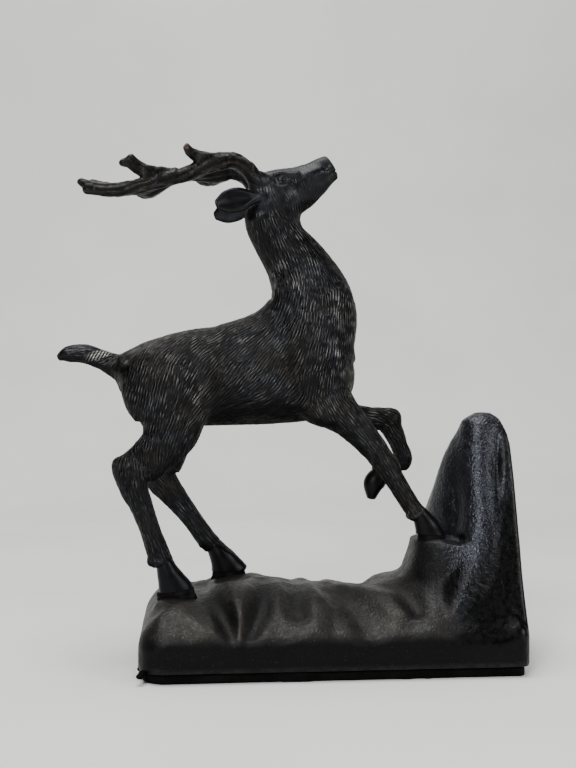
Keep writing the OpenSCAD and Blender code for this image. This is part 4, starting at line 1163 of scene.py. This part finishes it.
def base_bronze():
    """Bronze of the rock: pebbled and bluish on the upright, plain and black on the band, with painted shade
    in a few places and a painted highlight on its crests.
    """
    n = Nodes("base_bronze")
    peel, plain = n.value("peel"), n.value("plain")
    grain, speck = n.noise(520.0, 4, 0.6), n.noise(1400.0, 2, 0.6)
    n.colour = n.mix(n.ramp(n.noise(45.0), 0.4, 0.65), ROCK_DARK, ROCK_LIGHT)
    n.tint(n.times(n.value("slope"), 0.4), ROCK_TOP)
    n.tint(n.times(peel, n.ramp(grain, 0.35, 0.65, 0.55, 0.85)), ROCK_BLUE)
    n.tint(n.times(plain, 0.96), ROCK_PLAIN)
    n.tint(n.times(n.ramp(speck, 0.62, 0.72), n.ramp(plain, 0.0, 1.0, 0.3, 0.08)), DUST)
    # Patina darker in the hollows, with painted shade at the SHADED spots.
    n.tint(n.times(n.value("valley"), 0.75), ROCK_VALLEY_AND_SHADE)
    # Crests lighter from wear, with a painted highlight.
    n.tint(n.times(n.value("crest"), n.ramp(grain, 0.3, 0.7, 0.05, 0.3)), ROCK_CREST_WEAR_AND_HIGHLIGHT)
    scuff = n.times(n.ramp(n.noise(38.0, 6, 0.7), 0.66, 0.78), n.ramp(grain, 0.4, 0.7))
    n.tint(n.times(scuff, 0.12), DUST)
    rough = n.math("SUBTRACT", n.ramp(grain, 0.3, 0.7, 0.42, 0.58), n.times(peel, 0.14))
    pebbles = n.times(n.noise(1150.0, 1, 0.5), n.ramp(peel, 0.0, 1.0, 0.6, 1.0))
    pebbles = n.bump(n.times(pebbles, n.ramp(plain, 0.0, 1.0, 1.0, 0.3)), 0.42, 0.8)
    return n.finish(Roughness=rough, Metallic=0.85, Normal=n.bump(speck, 0.05, 0.6, pebbles))


def bedding():
    """Dull black setting compound."""
    n = Nodes("bedding")
    fine = n.noise(900.0)
    n.colour = n.mix(n.ramp(n.value("grain"), -0.4, 0.6), BEDDING_DARK, BEDDING_LIGHT)
    return n.finish(Roughness=n.ramp(fine, 0.3, 0.7, 0.6, 0.85), Specular_IOR_Level=0.05,
                    Normal=n.bump(fine, 0.1, 0.8))


def pad_rubber():
    """Black rubber with a little dust."""
    n = Nodes("pad_rubber")
    fine = n.noise(1100.0)
    n.colour = n.mix(n.ramp(n.noise(90.0), 0.4, 0.7), RUBBER_DARK, RUBBER_LIGHT)
    n.tint(n.times(n.ramp(fine, 0.62, 0.72), 0.1), RUBBER_DUST)
    return n.finish(Roughness=n.ramp(fine, 0.3, 0.7, 0.7, 0.95), Specular_IOR_Level=0.06,
                    Normal=n.bump(fine, 0.15, 0.9))


def fixing_steel():
    """Drawn steel with streaks and spots of rust."""
    n = Nodes("fixing_steel")
    along = n.new("Mapping", {"Vector": n.place(), "Scale": (1, 1, 12)}).outputs[0]
    streak = n.new("TexNoise", {"Vector": along, "Scale": 160.0, "Detail": 4.0}).outputs["Fac"]
    n.colour = n.mix(n.ramp(streak, 0.35, 0.7), STEEL_DARK, STEEL_LIGHT)
    n.tint(n.ramp(n.noise(300.0), 0.6, 0.72, 0, 0.5), RUST)
    rough = n.ramp(streak, 0.3, 0.7, 0.25, 0.45)
    return n.finish(Roughness=rough, Metallic=1.0, Normal=n.bump(streak, 0.03, 0.6))


def cast_iron():
    """Rough grey iron with a little brown."""
    n = Nodes("cast_iron")
    grain = n.noise(420.0, 5, 0.65)
    n.colour = n.mix(n.ramp(n.noise(40.0), 0.4, 0.65), IRON_DARK, IRON_LIGHT)
    rough = n.ramp(grain, 0.3, 0.7, 0.5, 0.75)
    return n.finish(Roughness=rough, Metallic=0.8, Normal=n.bump(grain, 0.3, 0.8))


# ---------- building the stag ----------


def build_coated(node, steps, cell, room, material, floor=None):
    """A casting with the cut coat, ended at its sole where it has a hoof."""
    whole = sculpt(steps, node, cell)

    def space(x, y, z):
        return room(x, y, z) if floor is None else np.maximum(room(x, y, z), floor(x) - z)

    p, faces = cut_to_room(whole, space)
    p, values = coated(whole, p)
    return make_piece(node + "_bronze", p, faces, material, node, values)


def build_antler(node, beam, brow, tine, knobs, tips, material):
    """An antler with bark that winds along its beam."""
    limbs = [("add", Tube(limb, cap=0.6), soft) for limb, soft in ((beam, 0), (brow, 1.6), (tine, 1.6))]
    whole = sculpt(limbs + knobs, node, FINE_CELL)
    p, faces = whole.surface()
    normals = whole.gradient(p)
    rows = curve(beam, 8)
    nearest = np.argmin(((p[:, None, [0, 2]] - rows[None, :, [0, 2]]) ** 2).sum(2), 1)
    out = p - rows[nearest, :3]
    turn = np.arctan2(out[:, 1], out[:, 2] + 1e-6)
    grooves, wind, wander = 8, 0.32, 2.4
    bark = np.sin(grooves * turn + wind * nearest + wander * noise(p, 6, 51)) * 0.5 + 0.5
    bark = bark ** 1.5 * (0.6 + 0.4 * noise(p, 2.4, 52))
    height = 0.42 * bark - 0.2 + 0.16 * noise(p, 1.3, 53)
    p = p + normals * height[:, None]
    values = {"groove": bark, "tip": np.clip(blobs(p, tips), 0, 1)}
    return make_piece(node + "_bronze", p, faces, material, node, values)


def build_tail(material):
    """The tail, fitted against the rump, with a row of chiselled marks on its near side."""
    rump = Tube(BARREL)
    whole = sculpt([("add", rump, 0), ("add", Tube(TAIL), 2.5)], "tail", FINE_CELL)
    p, faces = whole.inside(lambda x, y, z: -rump(x, y, z) - TAIL_SEAT).surface()
    p, values = coated(whole, p, 0.6)
    x, y, z = p.T
    half_length, half_width, pitch = 4.6, 1.5, 1.15
    off = z - 0.32 * (x + 68) - 113.4
    row = np.exp(-((x + 67.6) / half_length) ** 4) * np.exp(-(off / half_width) ** 4) * (y < 0)
    values["marks"] = 0.85 * row * ramp(np.sin(2 * np.pi * (x - 0.55 * z) / pitch), 0.1, 0.7)
    return make_piece("tail_bronze", p, faces, material, "tail", values)


def build_ear(node, ear, hollow, material):
    """A bare ear, with painted shade in its hollow."""
    hollow = Tube(hollow)
    whole = sculpt([("add", Tube(ear), 0), ("cut", hollow, 0.6)], node, SMALL_CELL)
    p, faces = whole.surface()
    p = p + whole.gradient(p) * (0.05 * noise(p, 2.0, 61))[:, None]
    none = np.zeros(len(p))
    # cuts puts painted shade into the hollow.
    values = {"flow": np.tile([1.0, 0, 0], (len(p), 1)), "coat": none, "rub": none + 0.2, "bloom": none + 1,
              "polish_highlight": none, "cuts": 1.5 * (1 - ramp(np.abs(hollow(*p.T)), 0.25, 0.9))}
    return make_piece(node + "_bronze", p, faces, material, node, values)


STAG = coat_bronze()
ANTLER = antler_bronze()
BODY = body_steps()
build_coated("trunk", BODY, STAG_CELL, trunk_room, STAG)
build_coated("near_hind_leg", BODY, FINE_CELL, near_hind_room, STAG, NEAR_SOLE)
build_coated("far_hind_leg", BODY, FINE_CELL, far_hind_room, STAG, FAR_SOLE)
build_coated("near_foreleg", BODY, FINE_CELL, near_fore_room, STAG, FORE_SOLE)
build_coated("far_foreleg", BODY, FINE_CELL, far_fore_room, STAG)
build_coated("head", head_steps(), SMALL_CELL, head_room, STAG)
build_tail(STAG)
build_ear("near_ear", EAR, EAR_HOLLOW, STAG)
build_ear("far_ear", mirrored(EAR), mirrored(EAR_HOLLOW), STAG)
build_antler("near_antler", NEAR_BEAM, NEAR_BROW, NEAR_TINE, NEAR_KNOBS, NEAR_TIP, ANTLER)
build_antler("far_antler", FAR_BEAM, FAR_BROW, FAR_TINE, FAR_KNOBS, FAR_TIP, ANTLER)
build_base(base_bronze())

BED = bedding()
build_bed("near_hind_bed", (-39.8, -12.8), (7.0, 4.5), 23.4, NEAR_SOLE, 1.5, 71, BED)
build_bed("far_hind_bed", (-20.4, 12.6), (6.7, 4.4), 26, FAR_SOLE, 0.4, 75, BED)
build_bed("fore_bed", (53.5, -12), (5.2, 4.1), 43, FORE_SOLE, 0.4, 79, BED)
build_pad(pad_rubber())

# The pieces inside keep their CAD meshes.
STEEL = fixing_steel()
INSIDE = {"weight": cast_iron()}
for name in ("closing_plate", "plate_screws", "head_dowel", "antler_dowels", "tail_dowel", "leg_dowels",
             "hoof_studs", "stud_washers", "stud_nuts"):
    INSIDE[name] = STEEL
for name, material in INSIDE.items():
    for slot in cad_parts[name].material_slots:
        slot.material = material

# ---------- stage, light and camera ----------


def smooth_mesh(name, verts, faces, material):
    mesh = bpy.data.meshes.new(name)
    mesh.from_pydata(verts, [], faces)
    mesh.polygons.foreach_set("use_smooth", [True] * len(faces))
    mesh.materials.append(material)
    made = bpy.data.objects.new(name, mesh)
    bpy.context.scene.collection.objects.link(made)
    return made


def build_stage():
    """A pale sheet that lies flat under the object and sweeps up behind it."""
    half, front, back, rise, bend, turns = 1.6, -1.2, 0.42, 1.9, 0.5, 12
    profile = [(front, 0.0), (back, 0.0)]
    for k in range(1, turns + 1):
        a = math.radians(90 * k / turns)
        profile.append((back + bend * math.sin(a), bend * (1 - math.cos(a))))
    profile.append((back + bend, rise))
    verts = [(side * half, y, z) for y, z in profile for side in (-1, 1)]
    faces = [(2 * k, 2 * k + 1, 2 * k + 3, 2 * k + 2) for k in range(len(profile) - 1)]
    n = Nodes("pale_sheet")
    n.colour = n.mix(n.ramp(n.noise(5.0, 3), 0.35, 0.65), SHEET_DARK, SHEET_LIGHT)
    sheet = smooth_mesh("floor_sheet", verts, faces, n.finish(Roughness=0.9, Specular_IOR_Level=0.1))


def build_surround():
    """A pale dish round the stage, so that the picture has a plain pale background from every side."""
    profile = [(1.1, -0.003), (1.9, -0.003), (2.3, 0.05), (2.6, 0.25), (2.8, 0.6), (2.8, 2.6)]
    turns = 64
    angles = [2 * math.pi * k / turns for k in range(turns)]
    verts = [(r * math.cos(a), r * math.sin(a), z) for r, z in profile for a in angles]
    faces = []
    for low in range(0, turns * (len(profile) - 1), turns):
        for k in range(turns):
            step = (k + 1) % turns
            faces.append((low + k, low + step, low + turns + step, low + turns + k))
    n = Nodes("pale_surround")
    glow = n.new("Emission", {"Color": SURROUND_GLOW, "Strength": 1.0})
    n.tree.links.new(glow.outputs[0], n.tree.nodes["Material Output"].inputs["Surface"])
    dish = smooth_mesh("surround", verts, faces, n.material)
    dish.visible_glossy = dish.visible_diffuse = dish.visible_shadow = False
    dish.visible_transmission = dish.visible_volume_scatter = False


def area_light(name, place, target, size, power):
    """A white disk of light, in metres and watts, that faces its target."""
    data = bpy.data.lights.new(name, "AREA")
    data.shape, data.size, data.energy = "DISK", size, power
    light = bpy.data.objects.new(name, data)
    light.location = place
    light.rotation_euler = (Vector(target) - Vector(place)).to_track_quat("-Z", "Y").to_euler()
    bpy.context.scene.collection.objects.link(light)


def build_lights():
    """Soft light from the front left, above and the front right, in a world that is brighter overhead."""
    middle = (0, 0, 0.1)
    area_light("key", (-0.44, -1.02, 0.66), middle, 0.42, 11)
    area_light("top", (-0.15, -0.05, 1.5), middle, 1.1, 26)
    area_light("side", (0.95, -0.75, 0.55), middle, 0.5, 7)
    world = bpy.data.worlds.new("studio")
    world.use_nodes = True
    tree = world.node_tree
    up = tree.nodes.new("ShaderNodeSeparateXYZ")
    sky = tree.nodes.new("ShaderNodeMapRange")
    for key, value in (("From Min", 0.0), ("From Max", 0.9), ("To Min", 0.06), ("To Max", 0.85)):
        sky.inputs[key].default_value = value
    tree.links.new(tree.nodes.new("ShaderNodeTexCoord").outputs["Generated"], up.inputs[0])
    tree.links.new(up.outputs["Z"], sky.inputs["Value"])
    tree.links.new(sky.outputs[0], tree.nodes["Background"].inputs["Strength"])
    bpy.context.scene.world = world


def build_camera():
    """Level with the middle of the stag and turned a little to its right."""
    data = bpy.data.cameras.new("camera")
    data.lens, data.sensor_width = 50, 36
    camera = bpy.data.objects.new("camera", data)
    camera.location = (-0.0334, -0.3985, 0.1024)
    camera.rotation_euler = (math.radians(90), 0, math.radians(-5))
    bpy.context.scene.collection.objects.link(camera)
    bpy.context.scene.camera = camera


build_stage()
build_surround()
build_lights()
build_camera()
